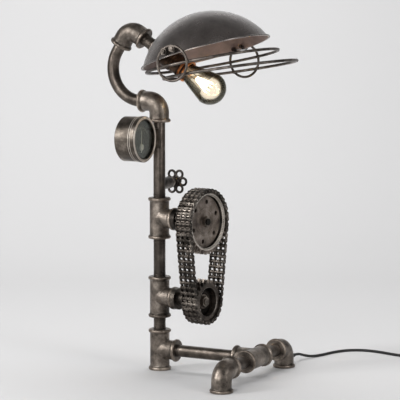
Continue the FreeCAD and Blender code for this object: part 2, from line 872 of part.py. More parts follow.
def link_plate(side, thickness):
    """Six-sided link plate, standing across local Y at a side, along local X between two pins."""
    nose = chain_pitch / 2 + plate_height / 2
    flat = chain_pitch / 2
    half = plate_height / 2
    outline = [(-nose, 0), (-flat, -half), (flat, -half), (nose, 0), (flat, half), (-flat, half)]
    points = [V(x, side, z) for x, z in outline]
    points.append(points[0])
    return Part.Face(Part.makePolygon(points)).extrude(V(0, thickness, 0))


def inner_link(strand_y):
    """Two inner plates joined by two six-sided rollers, one strand wide."""
    half = roller_length / 2
    pieces = [link_plate(strand_y - half - plate_thickness, plate_thickness),
              link_plate(strand_y + half, plate_thickness)]
    for end in (-1, 1):
        start = V(end * chain_pitch / 2, strand_y - half, 0)
        pieces.append(hexagon(start, BACK, roller_length, roller_d * math.cos(math.pi / 6)))
    return pieces[0].multiFuse(pieces[1:])


def build_chain():
    points = chain_points()
    offsets = [(i - (strands - 1) / 2) * strand_pitch for i in range(strands)]
    inner = [inner_link(y) for y in offsets]
    edge = offsets[-1] + roller_length / 2 + plate_thickness + plate_gap
    outer = [link_plate(edge, outer_plate_thickness),
             link_plate(-edge - outer_plate_thickness, outer_plate_thickness)]
    between = strand_pitch - roller_length - 2 * plate_thickness - 2 * plate_gap
    for low in offsets[:-1]:
        outer.append(link_plate(low + strand_pitch / 2 - between / 2, between))
    links = []
    for i, (y0, z0) in enumerate(points):
        y1, z1 = points[(i + 1) % chain_links]
        middle = V(drive_reach, (y0 + y1) / 2, (z0 + z1) / 2)
        along = V(0, y1 - y0, z1 - z0).normalize()
        at = frame_at(middle, along.cross(LEFT), along)
        for piece in (inner if i % 2 == 0 else outer):
            links.append(turned(placed(piece, at)))
    keep("drive_chain", Part.makeCompound(links))


def toothed_row(teeth, phase, start_x):
    """One row of teeth, its first gap at an angle, from start_x outwards."""
    pitch_r = pitch_radius(teeth)
    root = pitch_r - roller_d / 2 - tooth_clearance
    points = []
    for i in range(teeth):
        turn = phase + 2 * math.pi * i / teeth
        radial = V(0, math.cos(turn), math.sin(turn))
        across = V(0, -math.sin(turn), math.cos(turn))
        points.append(radial * (pitch_r + tooth_rise) - across * tooth_mouth_half)
        points.append(radial * root - across * tooth_gap_half)
        points.append(radial * root + across * tooth_gap_half)
        points.append(radial * (pitch_r + tooth_rise) + across * tooth_mouth_half)
    points.append(points[0])
    face = Part.Face(Part.makePolygon([p + V(start_x, 0, 0) for p in points]))
    return face.extrude(V(tooth_width, 0, 0))


def sprocket(centre, teeth, phase, dish_d, dish_depth, holes, hole_circle_d, hole_d):
    """Triple sprocket with a dished outer face, a web and a bored hub."""
    half = strand_pitch * (strands - 1) / 2 + tooth_width / 2
    drum_r = pitch_radius(teeth) - plate_height / 2 - drum_clearance
    solid = Part.makeCylinder(drum_r, 2 * half, V(-half, 0, 0), RIGHT)
    rows = []
    for i in range(strands):
        start = -half + i * strand_pitch
        rows.append(toothed_row(teeth, phase, start))
    solid = solid.multiFuse(rows)
    dish_r = dish_d / 2
    web_back = half - dish_depth - web_thickness
    cuts = [
        Part.makeCylinder(dish_r, dish_depth + 1, V(half - dish_depth, 0, 0), RIGHT),
        Part.makeCylinder(dish_r, 2 * half, V(web_back - 2 * half, 0, 0), RIGHT),
    ]
    for i in range(holes):
        turn = 2 * math.pi * (i + hole_start) / holes
        spot = V(-half, hole_circle_d / 2 * math.cos(turn), hole_circle_d / 2 * math.sin(turn))
        cuts.append(Part.makeCylinder(hole_d / 2, 2 * half, spot, RIGHT))
    hub = Part.makeCylinder(hub_d / 2, 2 * half - dish_depth + hub_rise, V(-half, 0, 0), RIGHT)
    bore_r = axle_d / 2 + bush_fit + bush_wall
    bore = Part.makeCylinder(bore_r, 2 * half, V(-half, 0, 0), RIGHT)
    solid = solid.cut(cuts[0].multiFuse(cuts[1:])).fuse(hub).cut(bore)
    solid.translate(V(drive_reach, 0, centre.z))
    return turned(solid)


def build_drive():
    points = chain_points()
    upper_phase = math.pi / 2
    low_y, low_z = min(points, key=lambda p: p[1])
    lower_phase = math.atan2(low_z - lower_centre.z, low_y)
    keep("upper_sprocket", sprocket(upper_centre, upper_teeth, upper_phase, upper_dish_d,
                                    upper_dish_depth, upper_holes, upper_hole_circle_d, upper_hole_d))
    keep("lower_sprocket", sprocket(lower_centre, lower_teeth, lower_phase, lower_dish_d,
                                    lower_dish_depth, 0, 0, 0))
    half = strand_pitch * (strands - 1) / 2 + tooth_width / 2
    hub_start = drive_reach - half
    for name, centre, dish_depth in (
        ("upper", upper_centre, upper_dish_depth),
        ("lower", lower_centre, lower_dish_depth),
    ):
        hub_end = drive_reach + half - dish_depth + hub_rise
        level = V(0, 0, centre.z)
        seat = fitting_reach - thread_depth
        shank = rod(level + RIGHT * seat, RIGHT, thread_depth, pipe_od)
        flange = rod(level + RIGHT * fitting_reach, RIGHT, axle_flange_width, axle_flange_d)
        collar_end = hub_start - swivel_gap
        collar = rod(level + RIGHT * fitting_reach, RIGHT, collar_end - fitting_reach, collar_d)
        axle = rod(level + RIGHT * fitting_reach, RIGHT,
                   hub_end + swivel_gap + axle_nut_height + axle_show - fitting_reach, axle_d)
        keep(name + "_axle", turned(shank.multiFuse([flange, collar, axle])))
        bush_r = axle_d / 2 + bush_fit
        bush = rod(level + RIGHT * hub_start, RIGHT, hub_end - hub_start,
                   2 * (bush_r + bush_wall), 2 * bush_r)
        keep(name + "_bush", turned(bush))
        nut = hexagon(level + RIGHT * (hub_end + swivel_gap), RIGHT, axle_nut_height,
                      axle_nut_flats, axle_d + 2 * thread_gap)
        keep(name + "_axle_nut", turned(nut))


# Cord


def tangent_arc(start, heading, end):
    """Arc edge from start, leaving along heading, to end."""
    chord = end - start
    side = chord - heading * chord.dot(heading)
    if side.Length < nearly_nothing:
        return Part.makeLine(start, end)
    side.normalize()
    radius = chord.dot(chord) / (2 * chord.dot(side))
    centre = start + side * radius
    half_way = ((start - centre) + (end - centre)).normalize()
    if chord.dot(heading) < 0:
        half_way = half_way * -1
    return Part.Arc(start, centre + half_way * radius, end).toShape()


def routed(points):
    """Edges of straight runs joined by the largest arcs that they allow, and the arcs' radii."""
    edges = []
    radii = []
    here = points[0]
    for before, corner, after in zip(points, points[1:], points[2:]):
        first = (corner - before)
        second = (after - corner)
        turn = first.getAngle(second)
        radius = bend_share * min(first.Length, second.Length) / math.tan(turn / 2)
        cut = radius * math.tan(turn / 2)
        first_dir = V(first).normalize()
        second_dir = V(second).normalize()
        start = corner - first_dir * cut
        end = corner + second_dir * cut
        edges.append(Part.makeLine(here, start))
        edges.append(tangent_arc(start, first_dir, end))
        radii.append(radius)
        here = end
    edges.append(Part.makeLine(here, points[-1]))
    return edges, radii


def tube_along(edges, heading, diameter, sides=0):
    """Solid swept along edges that start along heading, round or with a number of sides."""
    path = Part.Wire(edges)
    start = edges[0].Vertexes[0].Point
    if sides == 0:
        section = Part.Wire(Part.makeCircle(diameter / 2, start, heading))
        return path.makePipeShell([section], True, False)
    turns = [2 * math.pi * (i + 0.5) / sides for i in range(sides)]
    corners = [V(diameter / 2 * math.cos(a), diameter / 2 * math.sin(a), 0) for a in turns]
    corners.append(corners[0])
    section = placed(Part.Wire(Part.makePolygon(corners)), frame_at(start, heading))
    return path.makePipeShell([section], True, False)


def coil_stations():
    """Points and headings at each half turn of the coil, from the bottom layer to the top."""
    pitch = cord_d + coil_gap
    outer_r = coil_inner_r + coil_turns_per_layer * pitch
    radius = outer_r
    height = cord_r + cord_lift
    side = 1
    stations = [(radius, height, side)]
    for layer in range(coil_layers):
        step = -pitch / 2 if layer % 2 == 0 else pitch / 2
        last = layer == coil_layers - 1
        for _ in range(coil_last_half_turns if last else 2 * coil_turns_per_layer):
            radius += step
            side = -side
            stations.append((radius, height, side))
        if layer < coil_layers - 1:
            height += pitch
            side = -side
            stations.append((radius, height, side))
    return [(coil_centre + V(0, -s * r, h), V(s, 0, 0)) for r, h, s in stations]


def coil_edges():
    """Biarcs through the stations, with a straight end of one cord diameter at each end."""
    stations = coil_stations()
    first_point, first_heading = stations[0]
    edges = [Part.makeLine(first_point - first_heading * cord_d, first_point)]
    for (p0, t0), (p1, t1) in zip(stations, stations[1:]):
        reach = (p1 - p0).Length / 2
        joint = (p0 + p1) * 0.5 + t0 * reach
        edges.append(tangent_arc(p0, t0, joint))
        back = tangent_arc(p1, t1 * -1, joint)
        middle = back.valueAt((back.FirstParameter + back.LastParameter) / 2)
        edges.append(Part.Arc(joint, middle, p1).toShape())
    last_point, last_heading = stations[-1]
    edges.append(Part.makeLine(last_point, last_point + last_heading * cord_d))
    return edges


def least_gap(edges):
    """Smallest clear gap between stretches of the coil more than half a turn apart."""
    points = []
    lengths = []
    travelled = 0.0
    for edge in edges:
        count = 24
        span = edge.LastParameter - edge.FirstParameter
        for i in range(count):
            points.append(edge.valueAt(edge.FirstParameter + span * i / count))
            lengths.append(travelled + edge.Length * i / count)
        travelled += edge.Length
    apart = math.pi * coil_inner_r
    nearest = min(
        (points[i] - points[j]).Length
        for i in range(len(points))
        for j in range(i + 1, len(points))
        if lengths[j] - lengths[i] > apart
    )
    return nearest - cord_d


def build_cord():
    exit_point = V(base_span, foot_span + body_r + gland_length, cord_exit_z)
    root_y = foot_span + math.sqrt(body_r ** 2 - (gland_root_d / 2) ** 2) - gland_seat
    root = V(base_span, root_y, cord_exit_z)
    flange_start = foot_span + body_r - root_y
    length = exit_point.y - root_y
    gland = revolved(
        [
            (0, 0),
            (gland_root_d / 2, 0),
            (gland_root_d / 2, flange_start),
            (gland_flange_d / 2, flange_start),
            (gland_flange_d / 2, flange_start + gland_flange),
            (gland_root_d / 2, flange_start + gland_flange + 1),
            (gland_tip_d / 2, length),
            (0, length),
        ],
        frame_at(root, BACK, RIGHT),
    )
    keep("cord_gland", gland)
    floor = cord_r + cord_lift
    edges = coil_edges()
    coil_start = edges[0].Vertexes[0].Point
    route = [
        exit_point,
        V(base_span, 183.0, cord_exit_z),
        V(191.5, 202.0, 8.0),
        V(199.0, 221.0, floor + cord_settle),
        V(210.0, 247.0, floor),
        V(217.0, 281.0, floor),
        V(233.0, 312.0, floor),
        V(262.0, 327.0, floor),
        V(296.0, 323.0, floor),
        V(335.0, coil_start.y, floor),
        coil_start,
    ]
    lead_edges, radii = routed(route)
    lead = tube_along(lead_edges, route[1] - route[0], cord_d)
    keep("cord_lead", lead)
    coil = tube_along(edges, RIGHT, cord_d, cord_sides)
    keep("cord_coil", coil)
    coil_end = edges[-1].Vertexes[-1].Point
    tail_heading = (edges[-1].Vertexes[-1].Point - edges[-1].Vertexes[0].Point).normalize()
    side = V(-tail_heading.y, tail_heading.x, 0)
    plug_z = plug_body_height / 2
    tail_route = [
        coil_end,
        coil_end + tail_heading * tail_level,
        V(coil_end.x, coil_end.y, plug_z) + tail_heading * tail_drop_end,
        V(coil_end.x, coil_end.y, plug_z) + tail_heading * tail_reach + side * tail_aside,
    ]
    tail_edges, tail_radii = routed(tail_route)
    tail = tube_along(tail_edges, tail_heading, cord_d)
    keep("cord_tail", tail)
    lengths = [sum(e.Length for e in group) for group in (lead_edges, edges, tail_edges)]
    area = math.pi * cord_r ** 2
    for name, shape, size in zip(("lead", "coil", "tail"), (lead, coil, tail), lengths):
        print("cord", name, "length", round(size, 1), "volume ratio", round(shape.Volume / (area * size), 4))
    print("cord length", round(sum(lengths) + gland_length, 1))
    print("cord radii", [round(r, 1) for r in radii + tail_radii])
    print("coil least gap", round(least_gap(edges), 3))
    build_plug(tail_route[-1], (tail_route[-1] - tail_route[-2]).normalize())
    layer_height = cord_d + coil_gap
    stack = 2 * cord_lift + cord_d + (coil_layers - 1) * layer_height
    outer = coil_inner_r + coil_turns_per_layer * layer_height + cord_r
    inner = coil_inner_r - cord_r
    outside = Part.makeBox(outer - inner + 2 * (tie_gap + tie_thickness) + layer_height, tie_width,
                           stack + tie_gap + tie_thickness,
                           coil_centre + V(inner - tie_gap - tie_thickness, -tie_width / 2, 0))
    inside = Part.makeBox(outer - inner + 2 * tie_gap + layer_height, tie_width, stack + tie_gap,
                          coil_centre + V(inner - tie_gap, -tie_width / 2, 0))
    keep("cord_tie", outside.cut(inside))


def build_plug(entry, heading):
    """Two-pin plug lying flat, its cord entering along heading."""
    flat = V(heading.x, heading.y, 0).normalize()
    across = V(-flat.y, flat.x, 0)
    at = frame_at(entry, flat, across)
    half_w = plug_body_width / 2
    half_h = plug_body_height / 2
    nose = revolved(
        [(0, 0), (cord_r + 1, 0), (half_h - 1, plug_nose_length), (0, plug_nose_length)], at)
    grip = Part.makeBox(plug_body_width, plug_body_height, plug_body_length,
                        V(-half_w, -half_h, plug_nose_length))
    long_edges = [e for e in grip.Edges if abs(e.tangentAt(e.FirstParameter).z) > 0.9]
    grip = grip.makeFillet(plug_corner_r, long_edges)
    keep("plug_body", nose.fuse(placed(grip, at)))
    pins = []
    for side in (-1, 1):
        start = entry + flat * (plug_nose_length + plug_body_length) + across * (side * plug_pin_spacing / 2)
        pins.append(rod(start, flat, plug_pin_length, plug_pin_d))
    keep("plug_pins", Part.makeCompound(pins))


def write_parts():
    os.makedirs("parts", exist_ok=True)
    for name in sorted(nodes):
        nodes[name].exportStep(os.path.join("parts", name + ".step"))
    print(len(nodes), "pieces")


build_stand()
build_arm()
build_neck()
build_shade()
build_guard()
build_holder()
build_bulb()
build_gauge()
build_switch()
build_chain()
build_drive()
build_cord()
write_parts()
print("drive span", round(drive_span, 2), "post elbow z", round(post_elbow_centre.z, 1))
print("head", head_centre, "dome", dome_centre, "rim", rim_centre)
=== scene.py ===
import json
import math

import bmesh
import bpy
from mathutils import Matrix, Vector


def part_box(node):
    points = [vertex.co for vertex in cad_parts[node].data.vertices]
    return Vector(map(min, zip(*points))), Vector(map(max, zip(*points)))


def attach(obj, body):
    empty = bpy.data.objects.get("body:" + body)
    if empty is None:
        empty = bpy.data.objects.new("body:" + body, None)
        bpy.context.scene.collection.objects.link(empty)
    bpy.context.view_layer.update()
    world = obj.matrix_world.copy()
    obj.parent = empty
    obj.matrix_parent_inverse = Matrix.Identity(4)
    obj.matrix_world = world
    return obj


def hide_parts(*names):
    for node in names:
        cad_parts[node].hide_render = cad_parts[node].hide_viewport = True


# Looks of the industrial pipe table lamp. Lengths in metres, in the frame's own axes.

MM = 0.001
X_AXIS = Vector((1, 0, 0))
Y_AXIS = Vector((0, 1, 0))
Z_AXIS = Vector((0, 0, 1))

# Camera, fitted to the photograph
CAMERA_AT = Vector((1.5099, -2.6857, 0.6272))
CAMERA_TURN = math.radians(28)
CAMERA_DOWN = 0.1039
CAMERA_LENS = 156.3
CAMERA_CLIP = (0.05, 30)
SENSOR = 36.0

# Stage and lights: name, place, target, size, power, seen in reflections
STAGE_NEAR = -9.0
STAGE_WALL = 2.2
STAGE_CURVE_R = 1.2
STAGE_CURVE_STEPS = 16
STAGE_HEIGHT = 5.0
STAGE_HALF_WIDTH = 6.0
STAGE_SEEN = (0.62, 0.618, 0.622)
STAGE_LIT = (0.36, 0.355, 0.35)
LAMP_MIDDLE = (0.05, 0, 0.35)
LIGHTS = (
    ("key_left", (-1.4, -1.7, 1.3), LAMP_MIDDLE, (0.5, 1.6), 34, True),
    ("front", (0.1, -3.0, 1.2), LAMP_MIDDLE, (1.5, 1.3), 44, True),
    ("fill_right", (2.3, -0.6, 1.1), LAMP_MIDDLE, (0.5, 1.8), 16, True),
    ("top", (0.2, 0.5, 2.6), LAMP_MIDDLE, (2.2, 1.6), 34, False),
    ("wall_wash", (-0.6, 0.6, 2.4), (-1.0, 2.2, 0.6), (2.4, 1.0), 24, False),
)
ROOM_LIGHT = 0.16

# Metals: colours of their dark, middle and bright patches
PATINAS = {
    "pipe_iron": ((0.06, 0.05, 0.042), (0.115, 0.096, 0.081), (0.23, 0.195, 0.167)),
    # Darker copy of the pipe iron with the same finish: painted shade on the pipes that take it
    "pipe_iron_shaded": ((0.035, 0.029, 0.025), (0.068, 0.057, 0.048), (0.15, 0.128, 0.11)),
    "cast_iron": ((0.062, 0.053, 0.045), (0.24, 0.205, 0.175), (0.52, 0.46, 0.4)),
    # Darker copy of the cast iron with the same finish: painted shade on the fittings that take it
    "cast_iron_shaded": ((0.044, 0.038, 0.032), (0.17, 0.145, 0.124), (0.4, 0.352, 0.306)),
    "locknut_steel": ((0.06, 0.05, 0.04), (0.2, 0.17, 0.145), (0.42, 0.37, 0.32)),
    "wire_iron": ((0.045, 0.038, 0.034), (0.14, 0.12, 0.105), (0.34, 0.3, 0.27)),
    "bolt_steel": ((0.04, 0.034, 0.03), (0.14, 0.12, 0.104), (0.34, 0.3, 0.27)),
    "holder_copper": ((0.35, 0.12, 0.04), (0.8, 0.32, 0.12), (0.95, 0.55, 0.28)),
    "holder_dark": ((0.03, 0.02, 0.015), (0.09, 0.055, 0.035), (0.24, 0.14, 0.08)),
    "holder_contacts": ((0.2, 0.17, 0.12), (0.45, 0.4, 0.3), (0.7, 0.65, 0.5)),
    "gauge_black": ((0.04, 0.034, 0.028), (0.12, 0.102, 0.085), (0.29, 0.253, 0.215)),
    "switch_iron": ((0.015, 0.013, 0.011), (0.05, 0.042, 0.036), (0.17, 0.15, 0.13)),
    "stem_steel": ((0.1, 0.09, 0.08), (0.3, 0.27, 0.24), (0.5, 0.46, 0.42)),
    "wheel_bronze": ((0.016, 0.014, 0.013), (0.045, 0.039, 0.035), (0.16, 0.14, 0.125)),
    "axle_steel": ((0.03, 0.026, 0.022), (0.09, 0.078, 0.066), (0.26, 0.23, 0.2)),
    "sprocket_iron": ((0.11, 0.092, 0.08), (0.3, 0.252, 0.217), (0.58, 0.51, 0.45)),
    "bush_bronze": ((0.12, 0.07, 0.03), (0.33, 0.21, 0.09), (0.55, 0.4, 0.22)),
    "chain_steel": ((0.02, 0.017, 0.014), (0.075, 0.064, 0.055), (0.31, 0.275, 0.24)),
    "chain_pins": ((0.07, 0.06, 0.052), (0.22, 0.19, 0.165), (0.5, 0.46, 0.42)),
    "gear_dark": ((0.04, 0.034, 0.029), (0.12, 0.1, 0.085), (0.3, 0.26, 0.22)),
    # Near-black iron, also used for the painted shade in the upper sprocket's holes and the painted shadow
    # on its dish wall
    "gear_black": ((0.008, 0.007, 0.006), (0.02, 0.017, 0.014), (0.06, 0.05, 0.043)),
    "turned_steel": ((0.6, 0.54, 0.48), (0.76, 0.7, 0.63), (0.88, 0.82, 0.75)),
    "pin_brass": ((0.3, 0.2, 0.07), (0.6, 0.44, 0.18), (0.8, 0.62, 0.32)),
}
# Metals finished unlike the rest
PIPE_FINISH = {"metallic": 0.88, "rough": (0.28, 0.42), "grain": 520.0, "bump": 0.25}
CAST_FINISH = {"metallic": 0.86, "rough": (0.28, 0.5), "grain": 520.0, "bump": 0.3, "worn": 0.9}
FINISHES = {
    "pipe_iron": PIPE_FINISH,
    "pipe_iron_shaded": PIPE_FINISH,
    "cast_iron": CAST_FINISH,
    "cast_iron_shaded": CAST_FINISH,
    "wheel_bronze": {"metallic": 0.85, "rough": (0.32, 0.55), "grain": 700.0},
    "sprocket_iron": {"metallic": 0.88, "rough": (0.3, 0.5), "grain": 300.0},
    "chain_steel": {"metallic": 0.9, "rough": (0.24, 0.44), "grain": 900.0},
    "turned_steel": {"metallic": 0.55, "rough": (0.3, 0.42), "grain": 300.0, "bump": 0.1},
}
# Rubber, enamel, paint and plastic: colour and roughness
DULLS = {
    "foot_rubber": ((0.012, 0.012, 0.012), 0.8),
    "dial_enamel": ((0.075, 0.075, 0.066), 0.5),
    "dial_marks": ((0.3, 0.3, 0.27), 0.6),
    "needle_paint": ((0.72, 0.7, 0.64), 0.45),
    "dimmer_plastic": ((0.015, 0.015, 0.015), 0.55),
    "cord_black": ((0.014, 0.014, 0.014), 0.55),
}
SHADE_OUTSIDE = ((0.095, 0.083, 0.077), (0.17, 0.149, 0.14), (0.27, 0.242, 0.229))
# Inside of the shade, paler and warmer than the outside: painted light of the bulb
SHADE_INSIDE_BULB_LIT = ((0.2, 0.148, 0.131), (0.3, 0.223, 0.2), (0.41, 0.32, 0.29))
BULB_GLASS = ((0.985, 0.957, 0.9), (0.755, 0.725, 0.6))
BULB_GLOW = ((1, 0.82, 0.6), 0.08)
GAUGE_GLASS = ((0.97, 0.98, 0.96), (0.9, 0.92, 0.9))
# Nodes with a material of their own
OWN_MATERIALS = {
    "holder_cap": "holder_dark",
    "holder_shell": "holder_dark",
    "lower_sprocket": "gear_dark",
    # The middle pipe and the post nipple take the darker copy of the pipe iron: painted shade
    "middle_pipe": "pipe_iron_shaded",
    "post_nipple": "pipe_iron_shaded",
    "upper_axle": "gear_black",
}
PATCH_STOPS = (0.34, 0.52, 0.7)
RUBBED_STOPS = ((0.3, (0.55, 0.52, 0.5)), (0.7, (1, 1, 1)))
# Pointiness stops: darker in hollows, lighter on sharp edges
EDGE_STOPS = ((0.44, (0.3, 0.29, 0.28)), (0.5, (0.8, 0.8, 0.8)), (0.56, (2.0, 1.9, 1.8)))
SPUN_STOPS = (0.3, 0.55, 0.75)
SPIN_WAVES = 5200.0
DULL_VARIATION = 0.25

# Pipework
PIPE_R = 10.65 * MM
FITTING_REACH = 36.9 * MM
CROSS_X = 188.6 * MM
FOOT_Y = 123.6 * MM
NUT_FACE_AT = 59.0 * MM
THREAD_RIDGE = 0.45 * MM
THREAD_ROOT = 0.1 * MM
THREAD_PITCH = 1.8 * MM
THREAD_FLANK = 0.32
THREAD_START = 0.6
THREAD_TURNS = 4
FITTINGS = {
    "foot_tee": "stand",
    "cross_tee": "stand",
    "front_foot_elbow": "stand",
    "rear_foot_elbow": "stand",
    "lower_drive_tee": "stand",
    "upper_drive_tee": "stand",
    "post_elbow": "arm",
    "head_elbow": "arm",
}
# Fittings painted in the darker copy of the cast iron: painted shade, the same iron as the rest
SHADED_FITTINGS = ("lower_drive_tee", "head_elbow")
CAST_VOXEL = 0.8 * MM
CAST_SMOOTHING = 5

# Chain drive
CHAIN_PITCH = 9.525 * MM
UPPER_TEETH = 36
LOWER_TEETH = 24
CHAIN_LINKS = 60
STRAND_PITCH = 10.24 * MM
STRAND_SIDES = (-1, 0, 1)
ROLLER_R = 3.17 * MM
ROLLER_LENGTH = 5.7 * MM
PLATE_HALF_HEIGHT = 4.1 * MM
PLATE_WAIST = 2.9 * MM
PLATE_THICKNESS = 1.25 * MM
PLATE_GAP = 0.12 * MM
PLATE_NOSE = math.radians(118)
PLATE_NOSE_STEPS = 7
PIN_R = 1.65 * MM
PIN_PROUD = 0.7 * MM
PIN_DOME = 0.3 * MM
DRIVE_REACH = 95.0 * MM
DRIVE_TURN = math.radians(-8.5)
UPPER_NUT = "upper_axle_nut"
LOWER_NUT = "lower_axle_nut"
SPROCKET_HALF = 12.84 * MM
DISH_STEPS = 96
UPPER_DISH_R = 46.5 * MM
UPPER_FLOOR = SPROCKET_HALF - 7.5 * MM
UPPER_SLOPE = 3.5 * MM
UPPER_FACE = 3.6 * MM
UPPER_RIDGES = (20.0, 24.0, 42.5)
LOWER_DISH_R = 25.5 * MM
LOWER_FLOOR = SPROCKET_HALF - 11.0 * MM
LOWER_SLOPE = 1.5 * MM
LOWER_FACE = 1.2 * MM
UPPER_HOLES = 6
UPPER_HOLE_START = 0.35
UPPER_HOLE_CIRCLE_R = 35.0 * MM
UPPER_HOLE_R = 3.95 * MM
# Dark discs set inside the holes through the web: painted shade seen through them
HOLE_SHADE_DEPTH = 5.8 * MM
HOLE_SHADE_LENGTH = 1.2 * MM
SET_SCREW_R = 2.4 * MM
SET_SCREW_LENGTH = 2.4 * MM

# Gauge
GAUGE_AT = Vector((0.5, -52.65, 417.5)) * MM
GAUGE_FACE_RIDGES = ((39.0, 0.0), (36.2, 0.2), (37.6, -0.2))
GAUGE_CASE_RIDGES = ((39.4, -5), (39.4, -8.5), (39.4, -12))
NEEDLE_AT = Vector((0.5, -52.65, 403.5)) * MM
DIAL_DEPTH = 8.0 * MM
DIAL_SWEEP = math.radians(110)
DIAL_SCALE_R = 34.0 * MM
DIAL_STEPS = 40
DIAL_BOLD_EVERY = 5
DIAL_NUMBERS = 5
FINE_TICK = (2.6 * MM, 0.35 * MM)
BOLD_TICK = (5.0 * MM, 0.75 * MM)
BOLD_TICK_IN = 1.2 * MM
TICK_THICKNESS = 0.2 * MM
NUMBER_SIZE = 5.5 * MM
NUMBER_OUT = 6.5 * MM

# Head
NECK_DROP = math.radians(33.0)
HEAD_AT = Vector((-59.035, 0, 610.895)) * MM
DOME_AT = Vector((107.909, 0, 516.431)) * MM
RIM_AT = Vector((92.994, 0, 567.768)) * MM
SHADE_TILT = math.radians(16.2)
SHADE_INNER_R = 124.6 * MM
# Sheen of the shade, lighter at grazing edges: dust, and partly a painted sheen for the light edge along the
# dome's top
SHADE_DUST_AND_SHEEN = 0.32
GUARD_RINGS = ((17.2, 8.8, 5.0), (40.5, 38.5, 7.3))
LOOP_R = 29.5 * MM
LOOP_DROP = 15.7 * MM
LOOP_AHEAD = 3.0 * MM
LOOP_TURN = math.radians(4.3)
LOOP_OUT = 118.7 * MM
WELD_R = 3.1 * MM
WELD_IN = 1.2 * MM
WELD_UNEVENNESS = 0.07
WELD_WAVES = (3100, 2700)
NECK_AXIS = Vector((math.cos(NECK_DROP), 0, -math.sin(NECK_DROP)))
HOLDER_BEADS = ((88.4, 18.9), (104.4, 19.0), (108.4, 17.9), (114.4, 17.9), (124.4, 17.9))
HOLDER_BEAD_R = 0.75 * MM
COLLAR_AT = 128.2 * MM
COLLAR = ((17.4, 0), (18.1, 0), (18.5, 2), (18.1, 4), (18.1, 7.8), (20.1, 10), (20.1, 12.2), (17.0, 12.2),
          (17.0, 9))
FILAMENT_BAYS = 9
FILAMENT_AT = 175 * MM
FILAMENT_HALF = 15 * MM
FILAMENT_LOW_R = 3.4 * MM
FILAMENT_HIGH_R = 10.8 * MM
FILAMENT_WIRE_R = 0.5 * MM
SUPPORT_R = 0.2 * MM
SUPPORT_STEM_R = 1.2 * MM

# Handwheel
WHEEL_AT = Vector((0, 60.0, 334.5)) * MM
WHEEL_LOBES = 6
WHEEL_LOBE_AT = 15.2 * MM
WHEEL_LOBE_R = 6.5 * MM
WHEEL_WIRE_R = 2.2 * MM
WHEEL_HUB = ((4.05, -5.0), (6.2, -5.0), (7.0, -4.2), (8.6, -1.9), (8.6, 1.9), (7.0, 4.2), (6.2, 5.0),
             (4.05, 5.0))

# Cord
CORD_D = 5.0 * MM
CORD_LIFT = 0.05 * MM
CORD_EXIT = Vector((188.6, 167.1, 14.0)) * MM
CORD_ROUTE = (
    (188.6, 183.0, 14.0),
    (191.5, 202.0, 8.0),
    (199.0, 221.0, 2.95),
    (210.0, 247.0, 2.55),
    (217.0, 281.0, 2.55),
    (233.0, 312.0, 2.55),
    (262.0, 327.0, 2.55),
    (296.0, 323.0, 2.55),
)
COIL_ENTRY_X = 335.0 * MM
COIL_CENTRE = Vector((377.0, 342.0, 0.0)) * MM
COIL_INNER_R = 20.0 * MM
COIL_PITCH = 6.45 * MM
COIL_TURNS = 2
COIL_LAYERS = 4
COIL_LAST_HALF_TURNS = 3
COIL_STEPS = 8
TAIL_BEND = 16 * MM
PLUG_AHEAD = 43 * MM
PLUG_INSIDE = Vector((64, 4, 0)) * MM
PLUG_HALF_HEIGHT = 7.5 * MM
RELIEF_ROOT = Vector((188.6, 141.1, 14.0)) * MM
RELIEF_FLANGE_R = 7.0 * MM
RELIEF_R = 5.4 * MM
RELIEF_TAPER = 1.9 * MM
RELIEF_RIBS = 7
RELIEF_RIBS_FROM = 3.6 * MM
RELIEF_END = 3.8 * MM
RIB_SHARE = 0.62
RIB_DEPTH = 0.8 * MM


# Materials


def feed(tree, socket, value):
    """Links a socket to another node's output, or sets it to a plain value."""
    if isinstance(value, bpy.types.NodeSocket):
        tree.links.new(value, socket)
    else:
        socket.default_value = value


def node_material(name):
    material = bpy.data.materials.new(name)
    material.use_nodes = True
    return material, material.node_tree


def shader(name, metallic, roughness):
    """A node material with its tree, its shader and the object coordinates."""
    material, tree = node_material(name)
    bsdf = tree.nodes["Principled BSDF"]
    bsdf.inputs["Metallic"].default_value = metallic
    bsdf.inputs["Roughness"].default_value = roughness
    coords = tree.nodes.new("ShaderNodeTexCoord")
    return material, tree, bsdf, coords.outputs["Object"]


def noise(tree, vector, scale, detail=6.0, roughness=0.6):
    node = tree.nodes.new("ShaderNodeTexNoise")
    node.inputs["Scale"].default_value = scale
    node.inputs["Detail"].default_value = detail
    node.inputs["Roughness"].default_value = roughness
    tree.links.new(vector, node.inputs["Vector"])
    return node.outputs["Fac"]


def ramp(tree, factor, stops):
    """Colour ramp of (position, colour) stops."""
    node = tree.nodes.new("ShaderNodeValToRGB")
    band = node.color_ramp
    while len(band.elements) < len(stops):
        band.elements.new(0.5)
    for element, (position, colour) in zip(band.elements, stops):
        element.position = position
        element.color = (*colour, 1)
    tree.links.new(factor, node.inputs["Fac"])
    return node.outputs["Color"]


def spread(tree, factor, low, high, start=0.0, end=1.0):
    """Maps a factor from start to end on to a range of values."""
    node = tree.nodes.new("ShaderNodeMapRange")
    node.inputs["From Min"].default_value = start
    node.inputs["From Max"].default_value = end
    node.inputs["To Min"].default_value = low
    node.inputs["To Max"].default_value = high
    tree.links.new(factor, node.inputs["Value"])
    return node.outputs["Result"]


def raise_surface(tree, bsdf, height, strength, distance):
    node = tree.nodes.new("ShaderNodeBump")
    node.inputs["Strength"].default_value = strength
    node.inputs["Distance"].default_value = distance
    tree.links.new(height, node.inputs["Height"])
    tree.links.new(node.outputs["Normal"], bsdf.inputs["Normal"])


